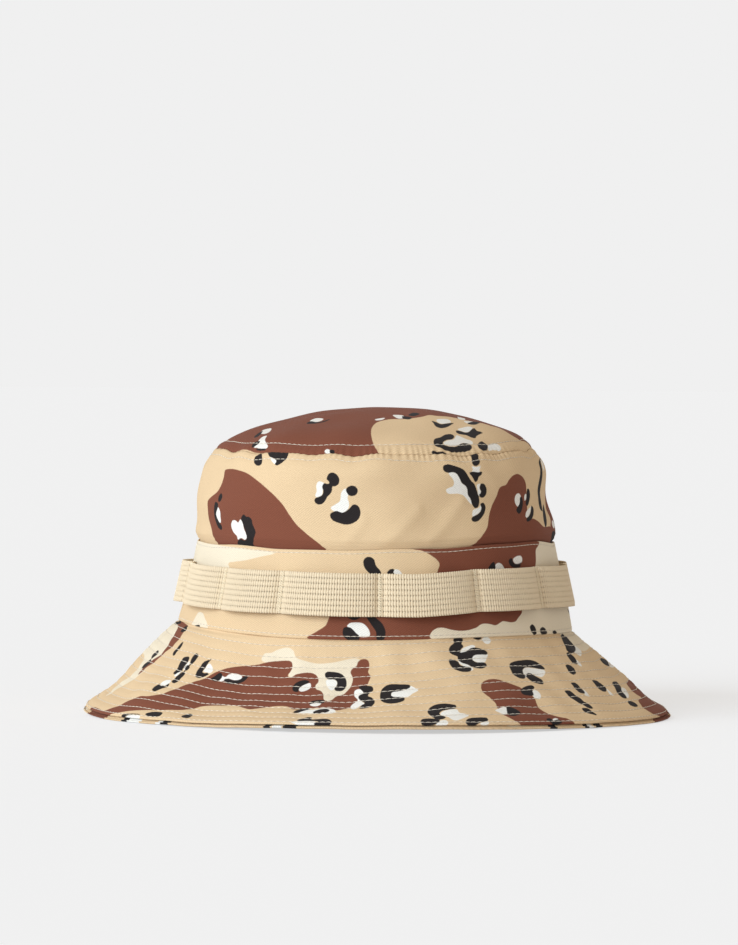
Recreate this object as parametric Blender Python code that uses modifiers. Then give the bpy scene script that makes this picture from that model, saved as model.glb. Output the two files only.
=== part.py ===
"""Boonie hat, sewn from printed cotton twill, with a webbing of branch loops round its crown.

Metres, +Z up. The front faces -Y and the wearer's left is +X. The origin is on the surface that the
brim stands on, in the middle of the oval. Every sewn layer is a closed solid of its own.
"""

import math

import bmesh
import bpy
from mathutils import Matrix, Vector

# The head's oval. Half-widths run from the middle to the ear; front to back each oval is longer.
HEAD_HALF_WIDTH = 0.0938
OVAL_EXTRA = 0.0072

# Heights above the surface that the brim stands on
BRIM_SEAM_Z = 0.0414
BAND_TOP_Z = 0.0809
TIP_SEAM_Z = 0.1242
DOME_HEIGHT = 0.0210

# Half-widths of the crown
BAND_TOP_HALF_WIDTH = 0.0850
CROWN_LOW_HALF_WIDTH = 0.0857
SHOULDER_HALF_WIDTH = 0.0812
TIP_HALF_WIDTH = 0.0762

# Shape of the dome and of the crown's rounded shoulder
DOME_POWER = 2.3
DOME_ROUNDING = 1.3
SHOULDER_SHARE = 0.27
SHOULDER_POWER = 2.2

# Brim, measured down its slope: steep at the crown, flatter at the edge
BRIM_SLANT = 0.0600
BRIM_SLOPE_AT_CROWN = math.radians(44.5)
BRIM_SLOPE_AT_EDGE = math.radians(33.5)
BRIM_FOOT_WIDTH = 0.0016

# Places where the brim sags: degrees from the front towards +X, degrees to each side, depth
BRIM_SAGS = ((-16.0, 42.0, 0.0050), (150.0, 60.0, 0.0020), (-120.0, 45.0, 0.0025))

# Thickness of the cloth layers, and the gap that keeps two sewn layers apart
TWILL = 0.0007
FOLDED_TWILL = 0.0009
INTERLINING = 0.0006
SWEATBAND = 0.0010
TAPE = 0.0005
WEBBING = 0.0013
GAP = 0.0003

# Strips
WEBBING_WIDTH = 0.0200
WEBBING_MID_Z = 0.0616
SWEATBAND_HEIGHT = 0.0300
TAPE_WIDTH = 0.0100
INTERLINING_EDGE_CLEAR = 0.0030

# Branch loops: where the webbing is tacked down, in degrees from the front towards +X
FRONT_TACKS = (-51.6, -28.8, 1.2, 30.8, 57.0)
BACK_TACK = 180.0
LOOPS_TO_BACK = 4
LOOPS_FROM_BACK = 5
LOOP_STANDOFF = 0.0036
LOOP_FULLNESS = 0.7
TACK_REACH = 2.2
TACK_WIDTH = 0.0012
TACK_HEIGHT = 0.0170
TACK_THICKNESS = 0.0007

# Facets
SEGMENTS = 60
WEBBING_SEGMENTS = 180
DOME_STEPS = 7
CROWN_STEPS = 7
BRIM_STEPS = 5
BACK_SLIT = math.radians(0.15)
MERGE_DISTANCE = 1e-6
SMOOTH_ANGLE = math.radians(40.0)

# Colours of the cloths, all of them matt
CAMOUFLAGE_TAN = (0.72, 0.55, 0.35)
WEBBING_SAND = (0.76, 0.65, 0.47)
SWEATBAND_TAN = (0.66, 0.55, 0.40)
INTERLINING_WHITE = (0.80, 0.78, 0.74)
TAPE_TAN = (0.62, 0.52, 0.38)
THREAD_STONE = (0.74, 0.68, 0.60)
CLOTH_ROUGHNESS = 0.9


def clear_scene():
    """Removes everything that the new file came with."""
    for obj in list(bpy.data.objects):
        bpy.data.objects.remove(obj)


def make_collection(name):
    """A new collection in the scene."""
    collection = bpy.data.collections.new(name)
    bpy.context.scene.collection.children.link(collection)
    return collection


def make_cloth(name, colour):
    """A plain matt cloth."""
    material = bpy.data.materials.new(name)
    material.use_nodes = True
    shader = material.node_tree.nodes["Principled BSDF"]
    shader.inputs["Base Color"].default_value = (*colour, 1.0)
    shader.inputs["Roughness"].default_value = CLOTH_ROUGHNESS
    shader.inputs["Metallic"].default_value = 0.0
    material.diffuse_color = (*colour, 1.0)
    return material


# Lines: lists of (half-width, height) down the outside of a layer, from the top to the bottom


def tip_line():
    """Outside of the domed top panel, from its middle to its seam."""
    line = []
    for step in range(DOME_STEPS + 1):
        share = math.sin(0.5 * math.pi * step / DOME_STEPS)
        rise = (1.0 - share**DOME_POWER) ** (1.0 / DOME_ROUNDING)
        line.append((TIP_HALF_WIDTH * share, TIP_SEAM_Z + DOME_HEIGHT * rise))
    return line


def band_half_width(z):
    """Outside of the cloth band: a straight cone from its top edge to the brim seam."""
    share = (BAND_TOP_Z - z) / (BAND_TOP_Z - BRIM_SEAM_Z)
    return BAND_TOP_HALF_WIDTH + (HEAD_HALF_WIDTH - BAND_TOP_HALF_WIDTH) * share


def band_lean():
    """How far the band leans inwards, in radians off the vertical."""
    return math.atan2(HEAD_HALF_WIDTH - BAND_TOP_HALF_WIDTH, BAND_TOP_Z - BRIM_SEAM_Z)


def crown_line():
    """Outside of the crown's side: a round shoulder, a cone, and a step in under the band."""
    line = []
    top_z = TIP_SEAM_Z - GAP
    step_z = BAND_TOP_Z + 3.0 * FOLDED_TWILL
    for step in range(CROWN_STEPS + 1):
        share = (step / CROWN_STEPS) ** 1.5
        cone = SHOULDER_HALF_WIDTH + (CROWN_LOW_HALF_WIDTH - SHOULDER_HALF_WIDTH) * share
        shoulder = max(0.0, 1.0 - share / SHOULDER_SHARE) ** SHOULDER_POWER
        half_width = cone - (SHOULDER_HALF_WIDTH - TIP_HALF_WIDTH) * shoulder
        line.append((half_width, top_z + (step_z - top_z) * share))
    for z in (BAND_TOP_Z + GAP, BRIM_SEAM_Z):
        line.append((band_half_width(z) - FOLDED_TWILL - GAP, z))
    return line


def brim_line():
    """Top of the brim, from the crown to its edge."""
    half_width = HEAD_HALF_WIDTH - FOLDED_TWILL
    z = BRIM_SEAM_Z - FOLDED_TWILL - GAP
    line = [(half_width, z)]
    for step in range(BRIM_STEPS):
        share = (step + 0.5) / BRIM_STEPS
        slope = BRIM_SLOPE_AT_CROWN + (BRIM_SLOPE_AT_EDGE - BRIM_SLOPE_AT_CROWN) * share
        half_width += BRIM_SLANT / BRIM_STEPS * math.cos(slope)
        z -= BRIM_SLANT / BRIM_STEPS * math.sin(slope)
        line.append((half_width, z))
    return line


def webbing_line():
    """Outside of the webbing where it is tacked down on the band."""
    reach = 0.5 * WEBBING_WIDTH * math.cos(band_lean())
    heights = (WEBBING_MID_Z + reach, WEBBING_MID_Z - reach)
    return inset([(band_half_width(z), z) for z in heights], -GAP - WEBBING)


def inset(line, depth):
    """The line moved towards the inside of the hat by depth, along its own normals."""
    moved = []
    for index, (half_width, z) in enumerate(line):
        before = Vector(line[max(index - 1, 0)])
        after = Vector(line[min(index + 1, len(line) - 1)])
        along = (after - before).normalized()
        moved.append((half_width + along.y * depth, z - along.x * depth))
    return moved


def layer(line, thickness):
    """Closed profile of a cloth layer whose outside is the line."""
    return line + inset(line, thickness)[::-1]


def cut_below(line, z):
    """The part of a falling line that lies above height z."""
    kept = [point for point in line if point[1] > z]
    inner = Vector(kept[-1])
    outer = Vector(line[len(kept)])
    kept.append(tuple(inner.lerp(outer, (inner.y - z) / (inner.y - outer.y))))
    return kept


# Shapes: where a point of a turned layer ends up


def angle_from_front(point):
    """Degrees from the front towards +X."""
    return math.degrees(math.atan2(point.x, -point.y))


def oval(point):
    """Stretches a round ring front to back into the head's oval."""
    half_width = math.hypot(point.x, point.y)
    stretch = 1.0 + OVAL_EXTRA / max(half_width, TIP_HALF_WIDTH)
    return Vector((point.x, point.y * stretch, point.z))


def sagging(point):
    """Oval, with the brim sunk a little between its seam and its flat foot at each sag."""
    if point.z < GAP:
        return oval(point)
    inner = HEAD_HALF_WIDTH
    outer = brim_line()[-1][0] - BRIM_FOOT_WIDTH - TWILL
    share = (math.hypot(point.x, point.y) - inner) / (outer - inner)
    share = min(max(share, 0.0), 1.0)
    drop = 0.0
    for middle, reach, depth in BRIM_SAGS:
        away = abs((angle_from_front(point) - middle + 180.0) % 360.0 - 180.0)
        if away < reach:
            drop += depth * math.cos(0.5 * math.pi * away / reach) ** 2
    return oval(point) - Vector((0.0, 0.0, 4.0 * drop * share * (1.0 - share)))


def tack_angles():
    """Angles of all tacks, once round from the first one at the front."""
    to_back = (BACK_TACK - FRONT_TACKS[-1]) / LOOPS_TO_BACK
    from_back = (FRONT_TACKS[0] + 360.0 - BACK_TACK) / LOOPS_FROM_BACK
    angles = list(FRONT_TACKS)
    angles += [FRONT_TACKS[-1] + to_back * count for count in range(1, LOOPS_TO_BACK + 1)]
    angles += [BACK_TACK + from_back * count for count in range(1, LOOPS_FROM_BACK)]
    return angles


def loop_standoff(angle):
    """How far the webbing stands off the band at an angle from the front."""
    ends = tack_angles()
    ends.append(ends[0] + 360.0)
    place = (angle - ends[0]) % 360.0 + ends[0]
    for start, end in zip(ends, ends[1:]):
        if start <= place < end:
            share = (place - start - TACK_REACH) / (end - start - 2.0 * TACK_REACH)
            share = min(max(share, 0.0), 1.0)
            return LOOP_STANDOFF * max(0.0, math.sin(math.pi * share)) ** LOOP_FULLNESS
    return 0.0


def looped(point):
    """Oval, with the webbing bulged out between its tacks."""
    half_width = math.hypot(point.x, point.y)
    growth = 1.0 + loop_standoff(angle_from_front(point)) / half_width
    return oval(Vector((point.x * growth, point.y * growth, point.z)))


# Solids


def turned_layer(name, profile, collection, material, shape=oval, segments=SEGMENTS, slit=BACK_SLIT):
    """A strip of cloth turned once round the head, whose ends meet at the slit at the back."""
    return turned(name, profile, True, collection, material, shape, segments, slit)


def turned(name, profile, is_loop, collection, material, shape, segments, slit):
    """Turns a profile round the vertical axis and moves its points to their shape."""
    mesh = bpy.data.meshes.new(name + "_profile")
    edges = [(index, index + 1) for index in range(len(profile) - 1)]
    if is_loop:
        edges.append((len(profile) - 1, 0))
    mesh.from_pydata([(0.0, half_width, z) for half_width, z in profile], edges, [])
    guide = bpy.data.objects.new(name + "_guide", mesh)
    collection.objects.link(guide)
    screw = guide.modifiers.new("Turn", "SCREW")
    screw.axis = "Z"
    screw.angle = 2.0 * math.pi - slit
    screw.steps = segments
    screw.render_steps = segments
    screw.use_merge_vertices = True
    screw.merge_threshold = MERGE_DISTANCE
    bpy.context.view_layer.update()
    graph = bpy.context.evaluated_depsgraph_get()
    result = bpy.data.meshes.new_from_object(guide.evaluated_get(graph))
    bpy.data.objects.remove(guide)

    work = bmesh.new()
    work.from_mesh(result)
    bmesh.ops.remove_doubles(work, verts=work.verts, dist=MERGE_DISTANCE)
    bmesh.ops.rotate(work, verts=work.verts, matrix=Matrix.Rotation(0.5 * slit, 3, "Z"))
    bmesh.ops.holes_fill(work, edges=work.edges)
    for vertex in work.verts:
        vertex.co = shape(vertex.co)
    bmesh.ops.recalc_face_normals(work, faces=work.faces)
    work.to_mesh(result)
    work.free()

    result.name = name
    result.materials.clear()
    result.materials.append(material)
    result.shade_smooth()
    result.set_sharp_from_angle(angle=SMOOTH_ANGLE)
    obj = bpy.data.objects.new(name, result)
    collection.objects.link(obj)
    return obj


def flat_bar(name, size, location, rotation, collection, material):
    """A small flat bar, sized along its own axes before it is turned."""
    bpy.ops.mesh.primitive_cube_add(size=1.0)
    bar = bpy.context.object
    bar.name = name
    bar.data.name = name
    bar.data.transform(Matrix.Diagonal((*size, 1.0)))
    bar.data.materials.append(material)
    for old in list(bar.users_collection):
        old.objects.unlink(bar)
    collection.objects.link(bar)
    bar.location = location
    bar.rotation_euler = rotation
    return bar


def make_crown(hat, twill):
    """The domed top panel, the side strip, and the cloth band over the strip's lower half."""
    tip = tip_line()
    tip_inside = inset(tip, TWILL)[::-1]
    tip_inside[-1] = (0.0, tip[0][1] - TWILL)
    turned("crown_tip", tip + tip_inside, False, hat, twill, oval, SEGMENTS, 0.0)
    turned_layer("crown_side", layer(crown_line(), TWILL), hat, twill)
    band = [(band_half_width(z), z) for z in (BAND_TOP_Z, BRIM_SEAM_Z)]
    turned_layer("crown_band", layer(band, FOLDED_TWILL), hat, twill)


def make_branch_loops(hat, webbing, thread):
    """The webbing round the band, and the bars of thread that sew it down between its loops."""
    profile = layer(webbing_line(), WEBBING)
    turned_layer("loop_webbing", profile, hat, webbing, looped, WEBBING_SEGMENTS)
    outside = sum(point[0] for point in webbing_line()) / 2.0
    height = sum(point[1] for point in webbing_line()) / 2.0
    half_width = outside + GAP + 0.5 * TACK_THICKNESS
    for number, angle in enumerate(tack_angles(), start=1):
        turn = math.radians(angle)
        spot = oval(Vector((half_width * math.sin(turn), -half_width * math.cos(turn), height)))
        heading = math.atan2(spot.x / half_width**2, -spot.y / (half_width + OVAL_EXTRA) ** 2)
        size = (TACK_WIDTH, TACK_THICKNESS, TACK_HEIGHT)
        flat_bar(f"loop_tack_{number:02d}", size, spot, (-band_lean(), 0.0, heading), hat, thread)


def make_brim(hat, twill, stiffener):
    """The printed top and underside, with a stiff interlining between them."""
    top = brim_line()
    turned_layer("brim_top", layer(top, TWILL), hat, twill, sagging)
    core = inset(top, TWILL + GAP)
    core = cut_below(core, core[-1][1] + INTERLINING_EDGE_CLEAR)
    turned_layer("brim_interlining", layer(core, INTERLINING), hat, stiffener, sagging, slit=0.0)
    under = inset(top, TWILL + INTERLINING + 2.0 * GAP)
    edge = under[-1][0]
    below = inset(under, TWILL)[:-1] + [(edge - BRIM_FOOT_WIDTH, 0.0), (edge, 0.0)]
    turned_layer("brim_underside", under + below[::-1], hat, twill, sagging)


def make_inside(hat, cotton, tape):
    """The sweatband at the brim seam, and the tapes over the crown's two seams."""
    inside = inset(crown_line(), TWILL + GAP)
    low = Vector(inside[-1])
    high = Vector(inside[-2])
    top = low.lerp(high, SWEATBAND_HEIGHT / (high - low).length)
    turned_layer("sweatband", layer([tuple(top), tuple(low)], SWEATBAND), hat, cotton)

    tip = tip_line()
    middle = Vector(tip[-2]).lerp(Vector(tip[-1]), 0.5)
    seam = [tip[-2], tuple(middle), tip[-1]] + crown_line()[2:4]
    profile = layer(inset(seam, TWILL + 2.0 * GAP), TAPE)
    turned("tip_seam_tape", profile, True, hat, tape, oval, SEGMENTS, 0.0)

    upper = Vector(inside[4])
    lower = Vector((inside[-2][0], top.y + 2.0 * GAP))
    spot = upper.lerp(lower, 0.5)
    lean = math.atan2(lower.x - upper.x, upper.y - lower.y)
    chord_drop = TAPE_WIDTH**2 / (8.0 * spot.x)
    back = spot.x + OVAL_EXTRA - 0.5 * TAPE - 2.0 * GAP - chord_drop
    size = (TAPE_WIDTH, TAPE, (upper - lower).length)
    flat_bar("back_seam_tape", size, (0.0, back, spot.y), (lean, 0.0, 0.0), hat, tape)


def main():
    clear_scene()
    hat = make_collection("boonie_hat")
    twill = make_cloth("camouflage_twill", CAMOUFLAGE_TAN)
    webbing = make_cloth("loop_webbing", WEBBING_SAND)
    cotton = make_cloth("sweatband_cotton", SWEATBAND_TAN)
    stiffener = make_cloth("interlining", INTERLINING_WHITE)
    tape = make_cloth("seam_tape", TAPE_TAN)
    thread = make_cloth("thread", THREAD_STONE)

    make_crown(hat, twill)
    make_branch_loops(hat, webbing, thread)
    make_brim(hat, twill, stiffener)
    make_inside(hat, cotton, tape)


main()
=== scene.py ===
"""Dresses the boonie hat: printed twill panels, branch-loop webbing, stitching, light and camera.

Metres, +Z up and front towards -Y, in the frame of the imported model.
"""

from __future__ import annotations

import logging
import math
from dataclasses import dataclass, field
from enum import Enum
from typing import Callable, Iterable, Sequence

import bmesh
import bpy
import numpy as np
from mathutils import Matrix, Vector


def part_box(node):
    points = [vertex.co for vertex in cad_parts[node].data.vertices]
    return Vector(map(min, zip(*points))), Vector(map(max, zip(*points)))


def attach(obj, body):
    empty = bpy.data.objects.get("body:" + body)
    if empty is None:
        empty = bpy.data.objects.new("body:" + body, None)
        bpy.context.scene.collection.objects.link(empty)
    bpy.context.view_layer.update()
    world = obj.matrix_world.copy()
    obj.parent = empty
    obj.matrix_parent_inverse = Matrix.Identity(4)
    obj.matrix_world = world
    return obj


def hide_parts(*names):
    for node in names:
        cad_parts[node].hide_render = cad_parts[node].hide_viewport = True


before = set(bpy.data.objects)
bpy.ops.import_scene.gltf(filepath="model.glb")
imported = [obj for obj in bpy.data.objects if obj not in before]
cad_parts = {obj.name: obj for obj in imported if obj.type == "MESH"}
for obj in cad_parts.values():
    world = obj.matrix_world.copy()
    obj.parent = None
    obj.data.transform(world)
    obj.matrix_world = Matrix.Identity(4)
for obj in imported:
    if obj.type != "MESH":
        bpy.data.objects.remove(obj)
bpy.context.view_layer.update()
LOG = logging.getLogger("boonie_hat")

Pixel = tuple[float, float]
Colour = tuple[float, float, float]
BODY = "root"
TURN = 2.0 * math.pi


class Cast(Enum):
    """A colour of the camouflage print, in the order that it is printed over the tan ground."""

    PALE = "print_pale"
    BROWN = "print_brown"
    WHITE = "print_white"
    BLACK = "print_black"


class Face(Enum):
    """Which way the printed face of a layer looks."""

    OUT = 1.0
    IN = -1.0


# Camera


@dataclass(frozen=True)
class PhotoCamera:
    """The pinhole camera that took the photograph."""

    frame_px: tuple[int, int] = (738, 945)
    lens_mm: float = 200.0
    sensor_mm: float = 36.0
    distance: float = 2.5
    height: float = 0.1726
    aside: float = -0.0036
    tilt: float = math.radians(1.347)
    roll: float = math.radians(0.4)

    def matrix(self) -> Matrix:
        """Where the camera stands and how it is turned."""
        place = Matrix.Translation((self.aside, -self.distance, self.height))
        turn = Matrix.Rotation(0.5 * math.pi - self.tilt, 4, "X") @ Matrix.Rotation(self.roll, 4, "Z")
        return place @ turn

    def to_pixels(self, points: np.ndarray) -> np.ndarray:
        """Projects points into the photograph.

        Args:
            points: world points, with x, y and z on the last axis.

        Returns:
            Pixel coordinates on the last axis.
        """
        width, height = self.frame_px
        view = np.array(self.matrix().inverted())
        local = points @ view[:3, :3].T + view[:3, 3]
        focal = self.lens_mm / self.sensor_mm * max(width, height)
        across = 0.5 * width - focal * local[..., 0] / local[..., 2]
        down = 0.5 * height + focal * local[..., 1] / local[..., 2]
        return np.stack([across, down], -1)

    def place(self) -> bpy.types.Object:
        """Adds the camera to the scene."""
        data = bpy.data.cameras.new("photo_camera")
        data.lens = self.lens_mm
        data.sensor_width = self.sensor_mm
        data.clip_end = 100.0
        camera = bpy.data.objects.new("photo_camera", data)
        camera.matrix_world = self.matrix()
        bpy.context.scene.collection.objects.link(camera)
        bpy.context.scene.camera = camera
        return camera


# Sizes and surfaces


@dataclass(frozen=True)
class HatSizes:
    """Sizes of the hat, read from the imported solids."""

    head_half_width: float
    oval_extra: float
    tip_half_width: float
    tip_seam_z: float
    crown_top_z: float
    band_top_half_width: float
    band_top_z: float
    brim_seam_z: float
    brim_half_width: float
    brim_edge_z: float
    webbing_top_z: float
    webbing_low_z: float
    front_dip: float = 0.0019
    side_tilt: float = 0.0020
    band_lift: float = 0.0018

    @classmethod
    def from_frame(cls) -> HatSizes:
        """Reads the sizes from the boxes of the solids."""
        band_low, band_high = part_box("crown_band")
        tip_low, tip_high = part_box("crown_tip")
        brim_low, brim_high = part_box("brim_top")
        web_low, web_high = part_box("loop_webbing")
        return cls(
            head_half_width=band_high.x,
            oval_extra=band_high.y - band_high.x,
            tip_half_width=tip_high.x,
            tip_seam_z=tip_low.z + 0.0004,
            crown_top_z=tip_high.z,
            band_top_half_width=band_high.x - 0.0088,
            band_top_z=band_high.z,
            brim_seam_z=band_low.z + 0.0002,
            brim_half_width=brim_high.x,
            brim_edge_z=brim_low.z,
            webbing_top_z=web_high.z,
            webbing_low_z=web_low.z,
        )

    def place(self, half_width: np.ndarray, angle: np.ndarray, z: np.ndarray) -> np.ndarray:
        """Puts points on the ovals of the hat.

        Args:
            half_width: half-width of each point's oval, ear to ear.
            angle: radians from the front towards +X.
            z: heights.

        Returns:
            World points on the last axis.
        """
        stretch = 1.0 + self.oval_extra / np.maximum(half_width, self.tip_half_width)
        x = half_width * np.sin(angle)
        y = -half_width * stretch * np.cos(angle)
        return np.stack(np.broadcast_arrays(x, y, z), -1)

    def dip(self, angle: np.ndarray, z: np.ndarray) -> np.ndarray:
        """How far the cloth hangs at the front: all of the dip at the brim seam, none at the top seam."""
        share = np.clip((self.tip_seam_z - z) / (self.tip_seam_z - self.brim_seam_z), 0.0, 1.0)
        return self.front_dip * bump(angle_away(angle, -12.0), math.radians(75.0)) * share

    def rise(self, angle: np.ndarray, z: np.ndarray) -> np.ndarray:
        """How far the brim seam is higher than level at one side and lower at the other, less so further up."""
        share = np.clip((self.band_top_z - z) / (self.band_top_z - self.brim_seam_z), 0.0, 1.0)
        return -self.side_tilt * np.sin(angle) ** 3 * share**3

    def band_wave(self, angle: np.ndarray, z: np.ndarray) -> np.ndarray:
        """How far the seam at the band's top edge is higher than level."""
        wave = self.band_lift * bump(angle_away(angle, 50.0), math.radians(52.0)) + 0.0004
        return wave * bump(z - self.band_top_z, 0.013)

    def band_half_width(self, z: np.ndarray) -> np.ndarray:
        """Outside of the cloth band at a height."""
        share = (self.band_top_z - z) / (self.band_top_z - self.brim_seam_z)
        return self.band_top_half_width + (self.head_half_width - self.band_top_half_width) * share


@dataclass(frozen=True)
class Crumple:
    """Soft unevenness of cloth, as a sum of plane waves with a fixed seed."""

    height: float
    wavelength: float
    seed: int
    waves: int = 14

    def at(self, u: np.ndarray, v: np.ndarray) -> np.ndarray:
        """Height of the unevenness at flat places u, v."""
        draw = np.random.default_rng(self.seed)
        total = np.zeros(np.broadcast(u, v).shape)
        for _ in range(self.waves):
            heading, phase = draw.uniform(0.0, TURN, 2)
            pitch = self.wavelength * draw.uniform(0.6, 1.7)
            total += np.sin(TURN * (u * math.cos(heading) + v * math.sin(heading)) / pitch + phase)
        return self.height * total / math.sqrt(0.5 * self.waves)


@dataclass(frozen=True)
class Fold:
    """A soft ridge in the side cloth, from one place to another: degrees from the front and metres down."""

    start: tuple[float, float]
    end: tuple[float, float]
    height: float
    width: float

    def at(self, angle: np.ndarray, down: np.ndarray, radius: float) -> np.ndarray:
        """Height of the ridge.

        Args:
            angle: radians from the front.
            down: distances down the cloth.
            radius: radius that the cloth is bent to.

        Returns:
            Heights above the cloth, with columns and rows.
        """
        x, y = np.broadcast_arrays(angle * radius, down)
        first = (math.radians(self.start[0]) * radius, self.start[1])
        run = (math.radians(self.end[0]) * radius - first[0], self.end[1] - first[1])
        share = ((x - first[0]) * run[0] + (y - first[1]) * run[1]) / (run[0] ** 2 + run[1] ** 2)
        share = np.clip(share, 0.0, 1.0)
        away = np.hypot(x - first[0] - share * run[0], y - first[1] - share * run[1])
        return self.height * np.exp(-((away / self.width) ** 2))


def bump(away: np.ndarray, reach: float) -> np.ndarray:
    """A smooth hill of height 1 at zero that ends at reach on both sides."""
    share = np.clip(np.abs(away) / reach, 0.0, 1.0)
    return np.cos(0.5 * math.pi * share) ** 2


def angle_away(angle: np.ndarray, middle: float) -> np.ndarray:
    """Radians from a middle that is given in degrees, the short way round."""
    return (angle - math.radians(middle) + math.pi) % TURN - math.pi


def rounded_rows(length: float, count: int, lip: float, both: bool) -> tuple[np.ndarray, np.ndarray]:
    """Rows across a strip whose edges roll over.

    Args:
        length: width of the strip.
        count: number of even rows between the rolled edges.
        lip: radius of a rolled edge.
        both: whether the first edge rolls over as well as the last one.

    Returns:
        Distances across the strip, and how deep each row lies under the strip's face.
    """
    quarter = np.linspace(0.0, 0.5 * math.pi, 5)[1:]
    start = lip if both else 0.0
    across = np.linspace(start, length - lip, count)
    depth = np.zeros(count)
    across = np.concatenate([across, length - lip + lip * np.sin(quarter)])
    depth = np.concatenate([depth, lip * (1.0 - np.cos(quarter))])
    if both:
        across = np.concatenate([lip - lip * np.sin(quarter[::-1]), across])
        depth = np.concatenate([lip * (1.0 - np.cos(quarter[::-1])), depth])
    return across, depth


@dataclass
class Panel:
    """A cloth panel as a grid: columns run round the hat, rows run down or outwards.

    Attributes:
        points: world points of the printed face.
        flat: the same points on the cloth before it was sewn.
        spot: the flat place at an angle from the front and a distance down or outwards.
        wraps: whether the last column is followed by the first, as on a disc.
        face: which way the printed face looks.
        hem: width of the turned hem at the last row, where the printed side shows on both faces.
    """

    points: np.ndarray
    flat: np.ndarray
    spot: Callable[[np.ndarray, np.ndarray], np.ndarray] | None = None
    wraps: bool = False
    face: Face = Face.OUT
    hem: float = 0.0

    def normals(self) -> np.ndarray:
        """Unit normals of the printed face."""
        down = np.gradient(self.points, axis=1)
        if self.wraps:
            along = np.roll(self.points, -1, 0) - np.roll(self.points, 1, 0)
        else:
            along = np.gradient(self.points, axis=0)
        normal = np.cross(down, along) * self.face.value
        return normal / np.maximum(np.linalg.norm(normal, axis=-1, keepdims=True), 1e-12)

    def raise_by(self, height: np.ndarray) -> None:
        """Moves the face along its normals."""
        self.points = self.points + self.normals() * height[..., None]

    def facing(self, camera: PhotoCamera) -> np.ndarray:
        """How squarely the face looks at the camera, from 1 to -1."""
        towards = np.array(camera.matrix().translation) - self.points
        towards = towards / np.linalg.norm(towards, axis=-1, keepdims=True)
        return np.sum(self.normals() * towards, -1)

    def flat_at(self, shown: np.ndarray, hidden: np.ndarray, pixel: Pixel) -> np.ndarray:
        """Finds the place on the flat cloth that shows at a pixel of the photograph.

        Args:
            shown: pixels of the panel's points.
            hidden: which points face away.
            pixel: a place in the photograph.

        Returns:
            The flat place.
        """
        away = np.where(hidden, np.inf, np.sum((shown - np.array(pixel)) ** 2, -1))
        column, row = np.unravel_index(np.argmin(away), away.shape)
        column = min(max(column, 1), shown.shape[0] - 2)
        row = min(max(row, 1), shown.shape[1] - 2)
        step_column = 0.5 * (shown[column + 1, row] - shown[column - 1, row])
        step_row = 0.5 * (shown[column, row + 1] - shown[column, row - 1])
        offset = np.array(pixel) - shown[column, row]
        move = np.linalg.lstsq(np.stack([step_column, step_row], -1), offset, rcond=1e-3)[0]
        move = np.clip(move, -2.0, 2.0)
        flat_column = 0.5 * (self.flat[column + 1, row] - self.flat[column - 1, row])
        flat_row = 0.5 * (self.flat[column, row + 1] - self.flat[column, row - 1])
        return self.flat[column, row] + move[0] * flat_column + move[1] * flat_row


# Camouflage print


@dataclass(frozen=True)
class Patch:
    """One printed shape, as a smooth closed outline.

    Attributes:
        cast: its colour.
        outline: pixels of the photograph along the outline.
        behind: the rest of the outline, out of sight: degrees from the front and millimetres down.
    """

    cast: Cast
    outline: tuple[Pixel, ...]
    behind: tuple[Pixel, ...] = ()


@dataclass(frozen=True)
class Enlargement:
    """A part of the photograph, enlarged, on which outlines are read."""

    left: float
    top: float
    scale: float

    def at(self, *places: Pixel) -> tuple[Pixel, ...]:
        """Pixels of the photograph at places on the enlargement."""
        return tuple((self.left + self.scale * x, self.top + self.scale * y) for x, y in places)

    def patch(self, cast: Cast, *places: Pixel, behind: tuple[Pixel, ...] = ()) -> Patch:
        """A printed shape read on the enlargement."""
        return Patch(cast, self.at(*places), behind)


def rim_patch(cast: Cast, start: float, end: float) -> Patch:
    """A printed shape that runs over the brim's rim between two angles in degrees."""
    return Patch(cast, (), ((start, 57.0), (end, 57.0), (end, 67.0), (start, 67.0)))


def smooth_loop(points: np.ndarray, steps: int = 6) -> np.ndarray:
    """A closed smooth line through points.

    Args:
        points: corner points of the loop.
        steps: points on each stretch.

    Returns:
        Points along the loop.
    """
    before, after, further = np.roll(points, 1, 0), np.roll(points, -1, 0), np.roll(points, -2, 0)
    share = np.linspace(0.0, 1.0, steps, endpoint=False)[:, None, None]
    line = (
        2.0 * points
        + (after - before) * share
        + (2.0 * before - 5.0 * points + 4.0 * after - further) * share**2
        + (3.0 * points - before - 3.0 * after + further) * share**3
    )
    return 0.5 * np.swapaxes(line, 0, 1).reshape(-1, 2)


def loop_distance(places: np.ndarray, loop: np.ndarray) -> np.ndarray:
    """Signed distance of places to a closed loop, below zero inside.

    Args:
        places: flat places, one row each.
        loop: points along the loop.

    Returns:
        One distance for each place.
    """
    nearest = np.full(len(places), np.inf)
    inside = np.zeros(len(places), bool)
    for start, end in zip(loop, np.roll(loop, -1, 0)):
        along = end - start
        away = places - start
        share = np.clip(away @ along / max(along @ along, 1e-18), 0.0, 1.0)
        gap = away - share[:, None] * along
        nearest = np.minimum(nearest, np.sum(gap * gap, -1))
        crosses = (start[1] > places[:, 1]) != (end[1] > places[:, 1])
        rise = end[1] - start[1] if end[1] != start[1] else 1e-18
        left_of = places[:, 0] < start[0] + (places[:, 1] - start[1]) * along[0] / rise
        inside ^= crosses & left_of
    return np.where(inside, -1.0, 1.0) * np.sqrt(nearest)


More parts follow.
